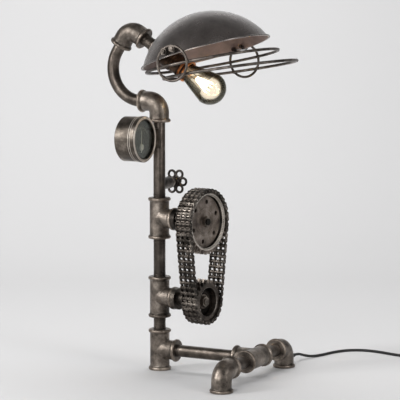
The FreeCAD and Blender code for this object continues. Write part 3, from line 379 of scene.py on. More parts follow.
def mixed(tree, factor, first, second, blend="MIX"):
    """Colour mixed of two colours, each a plain one or an output."""
    node = tree.nodes.new("ShaderNodeMix")
    node.data_type = "RGBA"
    node.blend_type = blend
    feed(tree, node.inputs["Factor"], factor)
    feed(tree, node.inputs["A"], first)
    feed(tree, node.inputs["B"], second)
    return node.outputs["Result"]


def mixed_shader(tree, factor, first, second):
    node = tree.nodes.new("ShaderNodeMixShader")
    feed(tree, node.inputs["Fac"], factor)
    feed(tree, node.inputs[1], first)
    feed(tree, node.inputs[2], second)
    return node.outputs["Shader"]


def maths(tree, operation, *operands):
    node = tree.nodes.new("ShaderNodeMath")
    node.operation = operation
    for socket, value in zip(node.inputs, operands):
        feed(tree, socket, value)
    return node.outputs["Value"]


def vector_maths(tree, operation, *operands):
    """Outputs of a vector maths node."""
    node = tree.nodes.new("ShaderNodeVectorMath")
    node.operation = operation
    for socket, value in zip(node.inputs, operands):
        feed(tree, socket, value)
    return node.outputs


def aged_metal(name, patina, metallic=0.9, rough=(0.26, 0.48), grain=420.0, bump=0.2, worn=0.0):
    """Metal with a blotched patina, rubbed spots and a fine grain, lighter on its sharp edges where it is
    worn bare, and darker in its hollows.
    """
    material, tree, bsdf, coords = shader(name, metallic, rough[0])
    patches = noise(tree, coords, 42.0, 8.0, 0.65)
    colour = ramp(tree, patches, list(zip(PATCH_STOPS, patina)))
    rubbed = ramp(tree, noise(tree, coords, 11.0, 3.0), RUBBED_STOPS)
    colour = mixed(tree, 0.5, colour, rubbed, "MULTIPLY")
    # Pointiness: lighter on sharp edges, worn bare, and darker in hollows
    if worn:
        shape = tree.nodes.new("ShaderNodeNewGeometry")
        edges = ramp(tree, shape.outputs["Pointiness"], EDGE_STOPS)
        colour = mixed(tree, worn, colour, edges, "MULTIPLY")
    tree.links.new(colour, bsdf.inputs["Base Color"])
    tree.links.new(spread(tree, patches, rough[1], rough[0]), bsdf.inputs["Roughness"])
    raise_surface(tree, bsdf, noise(tree, coords, grain, 4.0), bump, 0.0006)
    return material


def spun_metal(name, centre, axis, wall_r, outside, inside):
    """Sheet metal of a dome: rings of spinning about its axis, and a duller inside painted paler and warmer,
    a painted light of the bulb.
    """
    material, tree, bsdf, coords = shader(name, 0.9, 0.3)
    # Sheen: dust, and partly a painted sheen for the light edge along the dome's top
    bsdf.inputs["Sheen Weight"].default_value = SHADE_DUST_AND_SHEEN
    bsdf.inputs["Sheen Roughness"].default_value = 0.35
    offset = vector_maths(tree, "SUBTRACT", coords, centre)["Vector"]
    along_axis = vector_maths(tree, "DOT_PRODUCT", offset, axis)["Value"]
    reach = vector_maths(tree, "LENGTH", offset)["Value"]
    outer = maths(tree, "GREATER_THAN", reach, wall_r)
    wave = maths(tree, "SINE", maths(tree, "MULTIPLY", along_axis, SPIN_WAVES))
    patches = noise(tree, coords, 26.0, 8.0, 0.62)
    # The inside's paler, warmer colours are painted bulb light
    inner_lit_colour = ramp(tree, patches, list(zip(SPUN_STOPS, inside)))
    outer_colour = ramp(tree, patches, list(zip(SPUN_STOPS, outside)))
    tree.links.new(mixed(tree, outer, inner_lit_colour, outer_colour), bsdf.inputs["Base Color"])
    dull = maths(tree, "MULTIPLY", maths(tree, "SUBTRACT", 1.0, outer), 0.25)
    tree.links.new(maths(tree, "ADD", spread(tree, patches, 0.34, 0.22), dull), bsdf.inputs["Roughness"])
    raise_surface(tree, bsdf, wave, 0.05, 0.0003)
    return material


def plain_dull(name, colour, roughness):
    """Rubber, enamel or plastic with slight mottling and a fine grain."""
    material, tree, bsdf, coords = shader(name, 0.0, roughness)
    low = tuple(c * (1 - DULL_VARIATION) for c in colour)
    high = tuple(min(1.0, c * (1 + DULL_VARIATION)) for c in colour)
    mottled = ramp(tree, noise(tree, coords, 60.0), [(0.35, low), (0.65, high)])
    tree.links.new(mottled, bsdf.inputs["Base Color"])
    raise_surface(tree, bsdf, noise(tree, coords, 900.0, 3.0), 0.15, 0.0004)
    return material


def clear_glass(name, tints, reflect, glow=None):
    """Thin glass: tinted more at its edges, reflecting by angle, and where it glows lit from inside."""
    material, tree = node_material(name)
    tree.nodes.remove(tree.nodes["Principled BSDF"])
    facing = tree.nodes.new("ShaderNodeLayerWeight")
    facing.inputs["Blend"].default_value = 0.4
    through = tree.nodes.new("ShaderNodeBsdfTransparent")
    tint = ramp(tree, facing.outputs["Facing"], list(zip((0.16, 0.36), tints)))
    tree.links.new(tint, through.inputs["Color"])
    gloss = tree.nodes.new("ShaderNodeBsdfGlossy")
    coords = tree.nodes.new("ShaderNodeTexCoord")
    smear = noise(tree, coords.outputs["Object"], 55.0, 4.0)
    tree.links.new(spread(tree, smear, 0.02, 0.09), gloss.inputs["Roughness"])
    angle = tree.nodes.new("ShaderNodeFresnel")
    angle.inputs["IOR"].default_value = 1.45
    share = maths(tree, "MULTIPLY", angle.outputs["Fac"], reflect)
    surface = mixed_shader(tree, share, through.outputs["BSDF"], gloss.outputs["BSDF"])
    if glow:
        colour, strength = glow
        light = tree.nodes.new("ShaderNodeEmission")
        light.inputs["Color"].default_value = (*colour, 1)
        fading = spread(tree, facing.outputs["Facing"], strength, 0.0, 0.04, 0.3)
        tree.links.new(fading, light.inputs["Strength"])
        total = tree.nodes.new("ShaderNodeAddShader")
        tree.links.new(surface, total.inputs[0])
        tree.links.new(light.outputs["Emission"], total.inputs[1])
        surface = total.outputs["Shader"]
    tree.links.new(surface, tree.nodes["Material Output"].inputs["Surface"])
    return material


def glowing_wire(name, colour, strength):
    material, tree, bsdf, coords = shader(name, 0.0, 0.5)
    bsdf.inputs["Base Color"].default_value = (*colour, 1)
    bsdf.inputs["Emission Strength"].default_value = strength
    heat = noise(tree, coords, 180.0, 2.0)
    hot = tuple(min(1.0, c * 1.5) for c in colour)
    tree.links.new(ramp(tree, heat, [(0.3, colour), (0.7, hot)]), bsdf.inputs["Emission Color"])
    return material


def stage_paint(name, seen, lit):
    """Pale surface, open from behind, seen in one shade and lighting the lamp in another."""
    material, tree, bsdf, _ = shader(name, 0.0, 0.75)
    path = tree.nodes.new("ShaderNodeLightPath")
    direct = maths(tree, "MAXIMUM", path.outputs["Is Camera Ray"], path.outputs["Is Transmission Ray"])
    shown = maths(tree, "MAXIMUM", direct, path.outputs["Is Glossy Ray"])
    tree.links.new(mixed(tree, shown, (*lit, 1), (*seen, 1)), bsdf.inputs["Base Color"])
    side = tree.nodes.new("ShaderNodeNewGeometry")
    clear = tree.nodes.new("ShaderNodeBsdfTransparent")
    surface = mixed_shader(tree, side.outputs["Backfacing"], bsdf.outputs["BSDF"], clear.outputs["BSDF"])
    tree.links.new(surface, tree.nodes["Material Output"].inputs["Surface"])
    return material


def make_materials():
    paints = {name: aged_metal(name, patina, **FINISHES.get(name, {})) for name, patina in PATINAS.items()}
    for name, (colour, roughness) in DULLS.items():
        paints[name] = plain_dull(name, colour, roughness)
    paints["shade_steel"] = spun_metal("shade_steel", DOME_AT, shade_pole(), SHADE_INNER_R,
                                       SHADE_OUTSIDE, SHADE_INSIDE_BULB_LIT)
    paints["bulb_glass"] = clear_glass("bulb_glass", BULB_GLASS, 0.9, BULB_GLOW)
    paints["gauge_glass"] = clear_glass("gauge_glass", GAUGE_GLASS, 0.3)
    paints["filament_wire"] = glowing_wire("filament_wire", (1.0, 0.8, 0.5), 8.0)
    return paints


def shade_pole():
    """Axis of the dome, from its centre up through its crown."""
    return Vector((-math.sin(SHADE_TILT), 0, math.cos(SHADE_TILT)))


# Mesh helpers


def new_object(name, mesh):
    obj = bpy.data.objects.new(name, mesh)
    bpy.context.scene.collection.objects.link(obj)
    return obj


def mesh_object(name, bm, matrix=None, smooth=True):
    """Object at the origin from a bmesh, with its matrix carried by the vertices."""
    if matrix is not None:
        bmesh.ops.transform(bm, matrix=matrix, verts=bm.verts)
    bmesh.ops.recalc_face_normals(bm, faces=bm.faces)
    mesh = bpy.data.meshes.new(name)
    bm.to_mesh(mesh)
    bm.free()
    for face in mesh.polygons:
        face.use_smooth = smooth
    return new_object(name, mesh)


def along(origin, direction):
    """Matrix that carries local Z to a direction from an origin."""
    turn = Vector(direction).normalized().to_track_quat("Z", "Y").to_matrix().to_4x4()
    return Matrix.Translation(origin) @ turn


def turned_profile(bm, profile, steps, closed=True):
    """Adds a surface of revolution about Z of (radius, height) points to a bmesh."""
    rings = []
    for i in range(steps):
        a = 2 * math.pi * i / steps
        rings.append([bm.verts.new((r * math.cos(a), r * math.sin(a), h)) for r, h in profile])
    count = len(profile) if closed else len(profile) - 1
    for i in range(steps):
        near, far = rings[i], rings[(i + 1) % steps]
        for j in range(count):
            k = (j + 1) % len(profile)
            bm.faces.new((near[j], far[j], far[k], near[k]))
    bmesh.ops.remove_doubles(bm, verts=bm.verts, dist=1e-7)


def lathe(name, profile, steps, matrix=None, closed=True):
    bm = bmesh.new()
    turned_profile(bm, profile, steps, closed)
    return mesh_object(name, bm, matrix)


def in_mm(profile):
    """Profile of millimetre points in metres."""
    return [(radius * MM, height * MM) for radius, height in profile]


def add_ring(bm, centre, axis, radius, wire, steps=40, sides=10):
    """Adds a round ring of wire to a bmesh."""
    part = bmesh.new()
    profile = [(radius + wire * math.cos(2 * math.pi * i / sides), wire * math.sin(2 * math.pi * i / sides))
               for i in range(sides)]
    turned_profile(part, profile, steps)
    bmesh.ops.transform(part, matrix=along(centre, axis), verts=part.verts)
    join(bm, part)


def add_rod(bm, start, end, radius, sides=12):
    """Adds a round bar between two points to a bmesh."""
    part = bmesh.new()
    length = (end - start).length
    bmesh.ops.create_cone(part, cap_ends=True, segments=sides, radius1=radius, radius2=radius, depth=length)
    bmesh.ops.transform(part, matrix=along((start + end) / 2, end - start), verts=part.verts)
    join(bm, part)


def join(bm, part):
    """Moves the contents of one bmesh into another."""
    mesh = bpy.data.meshes.new("joined")
    part.to_mesh(mesh)
    part.free()
    bm.from_mesh(mesh)
    bpy.data.meshes.remove(mesh)


def evaluated_copy(source, name):
    """Plain mesh object of a source as its modifiers leave it."""
    graph = bpy.context.evaluated_depsgraph_get()
    graph.update()
    mesh = bpy.data.meshes.new_from_object(source.evaluated_get(graph), depsgraph=graph)
    mesh.name = name
    return new_object(name, mesh)


def finish_piece(obj, body, material, replaced=()):
    obj.data.materials.clear()
    obj.data.materials.append(material)
    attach(obj, body)
    if replaced:
        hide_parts(*replaced)
    return obj


# Repeats made with geometry nodes


def repeat_tree():
    """Node tree that puts a piece on every point, turned by the point's own angles."""
    tree = bpy.data.node_groups.new("repeat_piece", "GeometryNodeTree")
    for name, kind in (("Places", "Geometry"), ("Piece", "Object"), ("Finish", "Material")):
        tree.interface.new_socket(name, in_out="INPUT", socket_type="NodeSocket" + kind)
    tree.interface.new_socket("Pieces", in_out="OUTPUT", socket_type="NodeSocketGeometry")
    entry = tree.nodes.new("NodeGroupInput")
    leave = tree.nodes.new("NodeGroupOutput")
    info = tree.nodes.new("GeometryNodeObjectInfo")
    angles = tree.nodes.new("GeometryNodeInputNamedAttribute")
    angles.data_type = "FLOAT_VECTOR"
    angles.inputs["Name"].default_value = "turn"
    euler = tree.nodes.new("FunctionNodeEulerToRotation")
    spots = tree.nodes.new("GeometryNodeInstanceOnPoints")
    real = tree.nodes.new("GeometryNodeRealizeInstances")
    paint = tree.nodes.new("GeometryNodeSetMaterial")
    link = tree.links.new
    link(entry.outputs["Places"], spots.inputs["Points"])
    link(entry.outputs["Piece"], info.inputs["Object"])
    link(info.outputs["Geometry"], spots.inputs["Instance"])
    link(angles.outputs["Attribute"], euler.inputs["Euler"])
    link(euler.outputs["Rotation"], spots.inputs["Rotation"])
    link(spots.outputs["Instances"], real.inputs["Geometry"])
    link(real.outputs["Geometry"], paint.inputs["Geometry"])
    link(entry.outputs["Finish"], paint.inputs["Material"])
    link(paint.outputs["Geometry"], leave.inputs["Pieces"])
    return tree


def repeated(tree, name, piece, places, material):
    """One mesh of a piece repeated at each place, a matrix with no scale."""
    mesh = bpy.data.meshes.new(name + "_places")
    mesh.from_pydata([m.to_translation() for m in places], [], [])
    turns = mesh.attributes.new("turn", "FLOAT_VECTOR", "POINT")
    for i, m in enumerate(places):
        turns.data[i].vector = Vector(m.to_euler("XYZ"))
    carrier = new_object(name + "_places", mesh)
    modifier = carrier.modifiers.new("repeat", "NODES")
    modifier.node_group = tree
    sockets = {s.name: s.identifier for s in tree.interface.items_tree if s.in_out == "INPUT"}
    modifier[sockets["Piece"]] = piece
    modifier[sockets["Finish"]] = material
    result = evaluated_copy(carrier, name)
    bpy.data.objects.remove(carrier)
    bpy.data.objects.remove(piece)
    return result


# Cord


def coil_points():
    """Control points of the coil's turns, layer on layer, spiralling in and out."""
    points = []
    radius = COIL_INNER_R + COIL_TURNS * COIL_PITCH
    height = CORD_D / 2 + CORD_LIFT
    angle = -math.pi / 2
    points.append((radius, angle, height))
    for layer in range(COIL_LAYERS):
        step = -COIL_PITCH / 2 if layer % 2 == 0 else COIL_PITCH / 2
        halves = COIL_LAST_HALF_TURNS if layer == COIL_LAYERS - 1 else 2 * COIL_TURNS
        for _ in range(halves * COIL_STEPS):
            radius += step / COIL_STEPS
            angle += math.pi / COIL_STEPS
            points.append((radius, angle, height))
        if layer < COIL_LAYERS - 1:
            for _ in range(COIL_STEPS):
                height += COIL_PITCH / COIL_STEPS
                angle += math.pi / COIL_STEPS
                points.append((radius, angle, height))
    return [COIL_CENTRE + Vector((r * math.cos(a), r * math.sin(a), h)) for r, a, h in points]


def make_cord(paints):
    """One round cord from the strain relief by way of the coil into the plug."""
    coil = coil_points()
    lead = [Vector(p) * MM for p in CORD_ROUTE]
    lead.append(Vector((COIL_ENTRY_X, coil[0].y, CORD_D / 2 + CORD_LIFT)))
    end = coil[-1]
    plug_level = Vector((end.x, end.y, PLUG_HALF_HEIGHT))
    tail = [end + X_AXIS * TAIL_BEND, plug_level + X_AXIS * PLUG_AHEAD, plug_level + PLUG_INSIDE]
    points = [CORD_EXIT] + lead + coil + tail
    curve = bpy.data.curves.new("power_cord", "CURVE")
    curve.dimensions = "3D"
    curve.bevel_depth = CORD_D / 2
    curve.bevel_resolution = 3
    curve.resolution_u = 6
    curve.use_fill_caps = True
    spline = curve.splines.new("NURBS")
    spline.points.add(len(points) - 1)
    for point, place in zip(spline.points, points):
        point.co = (*place, 1)
    spline.order_u = 3
    spline.use_endpoint_u = True
    cord = new_object("power_cord", curve)
    finish_piece(cord, "stand", paints["cord_black"], ["cord_lead", "cord_coil", "cord_tail"])
    strain_relief(paints)


def strain_relief(paints):
    """Ribbed taper that guides the cord out of the foot elbow."""
    length = CORD_EXIT.y - RELIEF_ROOT.y
    ribbed = length - RELIEF_END
    profile = [(0.0, 0.0), (RELIEF_FLANGE_R, 0.0), (RELIEF_FLANGE_R, 2.6 * MM), (RELIEF_R, 3.4 * MM)]
    for i in range(RELIEF_RIBS):
        low = RELIEF_RIBS_FROM + ribbed * i / RELIEF_RIBS
        high = RELIEF_RIBS_FROM + ribbed * (i + RIB_SHARE) / RELIEF_RIBS
        radius = RELIEF_R - RELIEF_TAPER * i / (RELIEF_RIBS - 1)
        groove = radius - RIB_DEPTH
        profile += [(radius, low), (radius, high), (groove, high), (groove, high + RIB_DEPTH)]
    profile += [(3.4 * MM, length), (0.0, length)]
    relief = lathe("strain_relief", profile, 32, along(RELIEF_ROOT, Y_AXIS), False)
    finish_piece(relief, "stand", paints["cord_black"], ["cord_gland"])


# Pipework


def cast_fitting(node, body, material):
    """The fitting's own shape with the soft corners and fillets of a casting."""
    source = new_object(node + "_casting", bpy.data.objects[node].data.copy())
    remesh = source.modifiers.new("cast", "REMESH")
    remesh.mode = "VOXEL"
    remesh.voxel_size = CAST_VOXEL
    remesh.use_smooth_shade = True
    soften = source.modifiers.new("soften", "SMOOTH")
    soften.factor = 0.5
    soften.iterations = CAST_SMOOTHING
    casting = evaluated_copy(source, node + "_cast")
    bpy.data.objects.remove(source)
    for face in casting.data.polygons:
        face.use_smooth = True
    finish_piece(casting, body, material, [node])


def thread_ridge():
    """One ridge of pipe thread, a ring about Z."""
    half = THREAD_PITCH * THREAD_FLANK
    root = PIPE_R - THREAD_ROOT
    return lathe("thread_ridge", [(root, -half), (PIPE_R + THREAD_RIDGE, 0), (root, half)], 48)


def thread_places(mouth, direction):
    """Places of the ridges that show at a fitting's mouth."""
    steps = [THREAD_PITCH * (i + THREAD_START) for i in range(THREAD_TURNS)]
    return [along(mouth + direction * step, direction) for step in steps]


def make_pipework(paints, tree):
    # Shaded fittings take the darker copy of the cast iron, a painted shade
    for node, body in FITTINGS.items():
        cast_fitting(node, body, paints["cast_iron_shaded" if node in SHADED_FITTINGS else "cast_iron"])
    reach = FITTING_REACH
    lower_z, upper_z = centre_height(LOWER_NUT), centre_height(UPPER_NUT)
    cross = Vector((CROSS_X, 0, reach))
    mouths = [
        (Z_AXIS * (reach + reach), Z_AXIS),
        (Z_AXIS * (lower_z - reach), -Z_AXIS),
        (Z_AXIS * (lower_z + reach), Z_AXIS),
        (Z_AXIS * (upper_z - reach), -Z_AXIS),
        (Z_AXIS * (upper_z + reach), Z_AXIS),
        (Vector((reach, 0, reach)), X_AXIS),
        (cross - X_AXIS * reach, -X_AXIS),
        (cross + Y_AXIS * reach, Y_AXIS),
        (cross - Y_AXIS * reach, -Y_AXIS),
        (cross + Y_AXIS * (FOOT_Y - reach), -Y_AXIS),
        (cross - Y_AXIS * (FOOT_Y - reach), Y_AXIS),
    ]
    iron = paints["pipe_iron"]
    stand_places = [place for mouth, way in mouths for place in thread_places(mouth, way)]
    threads = repeated(tree, "pipe_threads", thread_ridge(), stand_places, iron)
    finish_piece(threads, "stand", iron)
    neck_places = thread_places(neck_point(reach), NECK_AXIS)
    neck_places += thread_places(neck_point(NUT_FACE_AT), -NECK_AXIS)
    neck = repeated(tree, "neck_threads", thread_ridge(), neck_places, iron)
    finish_piece(neck, "head", iron)


# Chain drive


def drive_matrix(centre_z):
    """Matrix from the drive's own axes, X along its axle, to the frame."""
    return Matrix.Rotation(DRIVE_TURN, 4, "Z") @ Matrix.Translation(Vector((DRIVE_REACH, 0, centre_z)))


def pitch_radius(teeth):
    return CHAIN_PITCH / (2 * math.sin(math.pi / teeth))


def centre_height(node):
    low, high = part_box(node)
    return (low[2] + high[2]) / 2


def loop_places(upper_z, lower_z):
    """Pin centres round the loop, one pitch apart, from the top of the upper sprocket."""
    upper_r, lower_r = pitch_radius(UPPER_TEETH), pitch_radius(LOWER_TEETH)
    distance = upper_z - lower_z
    lean = math.asin((upper_r - lower_r) / distance)
    run = math.sqrt(distance ** 2 - (upper_r - lower_r) ** 2) / CHAIN_PITCH
    quarter = (math.pi / 2 + lean) * UPPER_TEETH / (2 * math.pi)
    wrap = (math.pi - 2 * lean) * LOWER_TEETH / (2 * math.pi)
    stretches = (
        (quarter, lambda u: on_circle(upper_r, upper_z, math.pi / 2 + u * 2 * math.pi / UPPER_TEETH)),
        (run, lambda u: on_straight(upper_r, upper_z, math.pi + lean, u)),
        (wrap, lambda u: on_circle(lower_r, lower_z, math.pi + lean + u * 2 * math.pi / LOWER_TEETH)),
        (run, lambda u: on_straight(lower_r, lower_z, -lean, u)),
        (math.inf, lambda u: on_circle(upper_r, upper_z, -lean + u * 2 * math.pi / UPPER_TEETH)),
    )
    places = []
    for u in range(CHAIN_LINKS):
        for length, point in stretches:
            if u <= length:
                places.append(point(u))
                break
            u -= length
    return places


def on_circle(radius, height, angle):
    return Vector((0, radius * math.cos(angle), height + radius * math.sin(angle)))


def on_straight(radius, height, angle, pitches):
    along_run = Vector((0, -math.sin(angle), math.cos(angle))) * pitches * CHAIN_PITCH
    return on_circle(radius, height, angle) + along_run


def plate_outline():
    """Waisted outline of a link plate, (x, z) points round both pins."""
    half = CHAIN_PITCH / 2
    points = []
    for end in (1, -1):
        for i in range(PLATE_NOSE_STEPS):
            a = -PLATE_NOSE + 2 * PLATE_NOSE * i / (PLATE_NOSE_STEPS - 1)
            ahead = half + PLATE_HALF_HEIGHT * 0.98 * math.cos(a)
            points.append((end * ahead, end * PLATE_HALF_HEIGHT * math.sin(a)))
        points.append((0.0, end * PLATE_WAIST))
    return points


def add_plate(bm, side, thickness):
    """Adds a link plate standing across X from side, with its length along Y."""
    low = [bm.verts.new((side, y, z)) for y, z in plate_outline()]
    high = [bm.verts.new((side + thickness, y, z)) for y, z in plate_outline()]
    bm.faces.new(low)
    bm.faces.new(high[::-1])
    for i in range(len(low)):
        j = (i + 1) % len(low)
        bm.faces.new((low[i], high[i], high[j], low[j]))


def inner_link():
    """Three strands of paired plates with their rollers."""
    bm = bmesh.new()
    half = ROLLER_LENGTH / 2
    for strand in STRAND_SIDES:
        middle = strand * STRAND_PITCH
        add_plate(bm, middle - half - PLATE_THICKNESS, PLATE_THICKNESS)
        add_plate(bm, middle + half, PLATE_THICKNESS)
        for end in (-1, 1):
            pin = Vector((middle, end * CHAIN_PITCH / 2, 0))
            add_rod(bm, pin - Vector((half, 0, 0)), pin + Vector((half, 0, 0)), ROLLER_R, 14)
    return mesh_object("inner_link", bm, None, False)


def outer_link():
    """Outer and intermediate plates that tie two inner links together."""
    bm = bmesh.new()
    edge = STRAND_PITCH + ROLLER_LENGTH / 2 + PLATE_THICKNESS + PLATE_GAP
    add_plate(bm, edge, PLATE_THICKNESS)
    add_plate(bm, -edge - PLATE_THICKNESS, PLATE_THICKNESS)
    between = STRAND_PITCH - ROLLER_LENGTH - 2 * PLATE_THICKNESS - 2 * PLATE_GAP
    for side in (-0.5, 0.5):
        add_plate(bm, side * STRAND_PITCH - between / 2, between)
    return mesh_object("outer_link", bm, None, False)


def link_pin():
    """Riveted pin through all three strands, its ends slightly domed."""
    bm = bmesh.new()
    edge = STRAND_PITCH + ROLLER_LENGTH / 2 + 2 * PLATE_THICKNESS + PLATE_GAP + PIN_PROUD
    half = edge - PIN_DOME
    tip_r = PIN_R * 0.7
    profile = [(0, -edge), (tip_r, -edge), (PIN_R, -half), (PIN_R, half), (tip_r, edge), (0, edge)]
    turned_profile(bm, profile, 12, False)
    return mesh_object("link_pin", bm, Matrix.Rotation(math.pi / 2, 4, "Y"))


def make_chain(paints, tree):
    """Inner links, outer links and pins of the whole loop."""
    pins = loop_places(centre_height(UPPER_NUT), centre_height(LOWER_NUT))
    heading = Matrix.Rotation(DRIVE_TURN, 4, "Z") @ Matrix.Translation(Vector((DRIVE_REACH, 0, 0)))
    inner, outer, ends = [], [], []
    for i, pin in enumerate(pins):
        after = pins[(i + 1) % CHAIN_LINKS]
        step = after - pin
        turn = Matrix.Rotation(math.atan2(step.z, step.y), 4, "X")
        place = heading @ Matrix.Translation((pin + after) / 2) @ turn
        (inner if i % 2 == 0 else outer).append(place)
        ends.append(heading @ Matrix.Translation(pin))
    for name, make_piece, places, paint in (
        ("inner_links", inner_link, inner, paints["chain_steel"]),
        ("outer_links", outer_link, outer, paints["chain_steel"]),
        ("link_pins", link_pin, ends, paints["chain_pins"]),
    ):
        repeats = repeated(tree, name, make_piece(), places, paint)
        finish_piece(repeats, "stand", paint, ["drive_chain"])


def axle_lathe(name, profile, nut, steps):
    """Surface turned about the axle of a nut, heights from the middle of its sprocket outward."""
    place = drive_matrix(centre_height(nut)) @ Matrix.Rotation(math.pi / 2, 4, "Y")
    return lathe(name, profile, steps, place)


def dish_mouth(name, nut, dish_r, slope, face):
    """Turned bevel round the mouth of a dish: its slope inside the dish, its face on the rim."""
    skin = SPROCKET_HALF + 0.25 * MM
    foot = SPROCKET_HALF - slope
    profile = [(dish_r, foot), (dish_r - 0.2 * MM, foot), (dish_r - 0.6 * MM, SPROCKET_HALF - 0.8 * slope),
               (dish_r + 0.5 * face, skin), (dish_r + face, skin), (dish_r + face, SPROCKET_HALF),
               (dish_r, SPROCKET_HALF)]
    return axle_lathe(name, profile, nut, DISH_STEPS)


def make_upper_trim(paints):
    """Ridges, dark discs of painted shade in the holes, a dark liner of painted shadow on the wall, and the
    turned mouth of the upper sprocket's dish.
    """
    place = drive_matrix(centre_height(UPPER_NUT))
    body, slot = "upper_drive", "sprocket_iron"
    bm = bmesh.new()
    for radius in UPPER_RIDGES:
        add_ring(bm, X_AXIS * (UPPER_FLOOR + 0.1 * MM), X_AXIS, radius * MM, 0.7 * MM, 72, 8)
    finish_piece(mesh_object("upper_ridges", bm, place), body, paints["sprocket_iron"])
    # Dark discs inside the through holes: painted shade
    bm = bmesh.new()
    for i in range(UPPER_HOLES):
        turn = 2 * math.pi * (i + UPPER_HOLE_START) / UPPER_HOLES
        spot = Vector((0, math.cos(turn), math.sin(turn))) * UPPER_HOLE_CIRCLE_R
        start = spot + X_AXIS * (UPPER_FLOOR - HOLE_SHADE_DEPTH)
        add_rod(bm, start, start + X_AXIS * HOLE_SHADE_LENGTH, UPPER_HOLE_R, 20)
    finish_piece(mesh_object("hole_stops", bm, place), body, paints["gear_black"])
    # Dark liner over the dish's wall and the foot of its floor: painted shadow inside the dish
    brow, skin_r, toe_r = SPROCKET_HALF - UPPER_SLOPE, UPPER_DISH_R - 0.2 * MM, UPPER_DISH_R - 1.6 * MM
    profile = [(UPPER_DISH_R, UPPER_FLOOR), (UPPER_DISH_R, brow), (skin_r, brow),
               (skin_r, UPPER_FLOOR + 1.2 * MM), (toe_r, UPPER_FLOOR + 0.2 * MM), (toe_r, UPPER_FLOOR)]
    wall = axle_lathe("upper_dish_wall", profile, UPPER_NUT, DISH_STEPS)
    finish_piece(wall, body, paints["gear_black"])
    mouth = dish_mouth("upper_dish_mouth", UPPER_NUT, UPPER_DISH_R, UPPER_SLOPE, UPPER_FACE)
    finish_piece(mouth, body, paints["turned_steel"])


def make_lower_trim(paints):
    """Turned mouth, dark floor and set screw of the lower sprocket's dish."""
    body = "lower_drive"
    mouth = dish_mouth("lower_dish_mouth", LOWER_NUT, LOWER_DISH_R, LOWER_SLOPE, LOWER_FACE)
    finish_piece(mouth, body, paints["stem_steel"])
    wall_r, hub_r = LOWER_DISH_R - 0.3 * MM, 13.2 * MM
    edge_z, flat_z = LOWER_FLOOR + 0.3 * MM, LOWER_FLOOR + 0.9 * MM
    profile = [(hub_r, LOWER_FLOOR), (wall_r, LOWER_FLOOR), (wall_r, edge_z), (22.0 * MM, flat_z),
               (17.0 * MM, flat_z), (hub_r, edge_z)]
    floor = axle_lathe("lower_dish_floor", profile, LOWER_NUT, 72)
    finish_piece(floor, body, paints["gear_black"])
    bm = bmesh.new()
    spot = Vector((LOWER_FLOOR + 0.4 * MM, -12.7 * MM, -13.5 * MM))
    head = spot + X_AXIS * SET_SCREW_LENGTH
    add_rod(bm, spot, head, SET_SCREW_R, 24)
    add_ring(bm, head, X_AXIS, 1.5 * MM, 0.45 * MM, 24, 8)
    screw = mesh_object("lower_set_screw", bm, drive_matrix(centre_height(LOWER_NUT)))
    finish_piece(screw, body, paints["turned_steel"])


# Gauge


def dial_place(angle, radius, depth=0.15):
    """Matrix on the dial's face, its local X outward along a clock angle from the top."""
    outward = Vector((0, math.sin(angle), math.cos(angle)))
    spot = NEEDLE_AT + Vector((-DIAL_DEPTH + depth * MM, 0, 0)) + outward * radius
    across = X_AXIS.cross(outward)
    turn = Matrix((outward, across, X_AXIS)).transposed().to_4x4()
    return Matrix.Translation(spot) @ turn


def dial_tick(length, width):
    """Flat bar with its length along X."""
    bm = bmesh.new()
    bmesh.ops.create_cube(bm, size=1.0)
    bmesh.ops.scale(bm, vec=Vector((length, width, TICK_THICKNESS)), verts=bm.verts)
    return mesh_object("dial_tick", bm, None, False)


def make_gauge(paints, tree):
    """Scale and numbers of the dial, ridges of the bezel and case, and the needle's boss."""
    fine, bold = [], []
    for i in range(DIAL_STEPS + 1):
        angle = DIAL_SWEEP * (i / DIAL_STEPS - 0.5)
        if i % DIAL_BOLD_EVERY:
            fine.append(dial_place(angle, DIAL_SCALE_R))
        else:
            bold.append(dial_place(angle, DIAL_SCALE_R - BOLD_TICK_IN))
    marks = paints["dial_marks"]
    for name, size, places in (("fine_ticks", FINE_TICK, fine), ("bold_ticks", BOLD_TICK, bold)):
        finish_piece(repeated(tree, name, dial_tick(*size), places, marks), "stand", marks)
    for i in range(DIAL_NUMBERS):
        number(str(i), DIAL_SWEEP * (i / (DIAL_NUMBERS - 1) - 0.5), paints)
    bm = bmesh.new()
    for radius, depth in GAUGE_FACE_RIDGES:
        add_ring(bm, GAUGE_AT + X_AXIS * depth * MM, X_AXIS, radius * MM, 0.6 * MM, 96, 8)
    for radius, depth in GAUGE_CASE_RIDGES:
        add_ring(bm, GAUGE_AT + X_AXIS * depth * MM, X_AXIS, radius * MM, 0.5 * MM, 96, 8)
    finish_piece(mesh_object("gauge_ridges", bm), "stand", paints["turned_steel"])
    profile = in_mm(((0, 0), (5.8, 0), (5.8, 1.1), (4.6, 1.7), (0, 1.7)))
    boss = lathe("needle_boss", profile, 32, dial_place(0, 0.0, 1.6), False)
    finish_piece(boss, "needle", paints["needle_paint"])


def number(text, angle, paints):
    """One plain number of the dial, upright beside its bold tick."""
    curve = bpy.data.curves.new("dial_number_" + text, "FONT")
    curve.body = text
    curve.size = NUMBER_SIZE
    curve.extrude = 0.1 * MM
    curve.align_x = "CENTER"
    curve.align_y = "CENTER"
    writer = new_object("dial_writer", curve)
    figure = evaluated_copy(writer, "dial_number_" + text)
    bpy.data.objects.remove(writer)
    outward = Vector((0, math.sin(angle), math.cos(angle)))
    spot = NEEDLE_AT + Vector((-DIAL_DEPTH + 0.2 * MM, 0, 0)) + outward * (DIAL_SCALE_R + NUMBER_OUT)
    upright = Matrix(((0, 0, 1), (1, 0, 0), (0, 1, 0))).to_4x4()
    figure.data.transform(Matrix.Translation(spot) @ upright)
    finish_piece(figure, "stand", paints["dial_marks"])


# Head


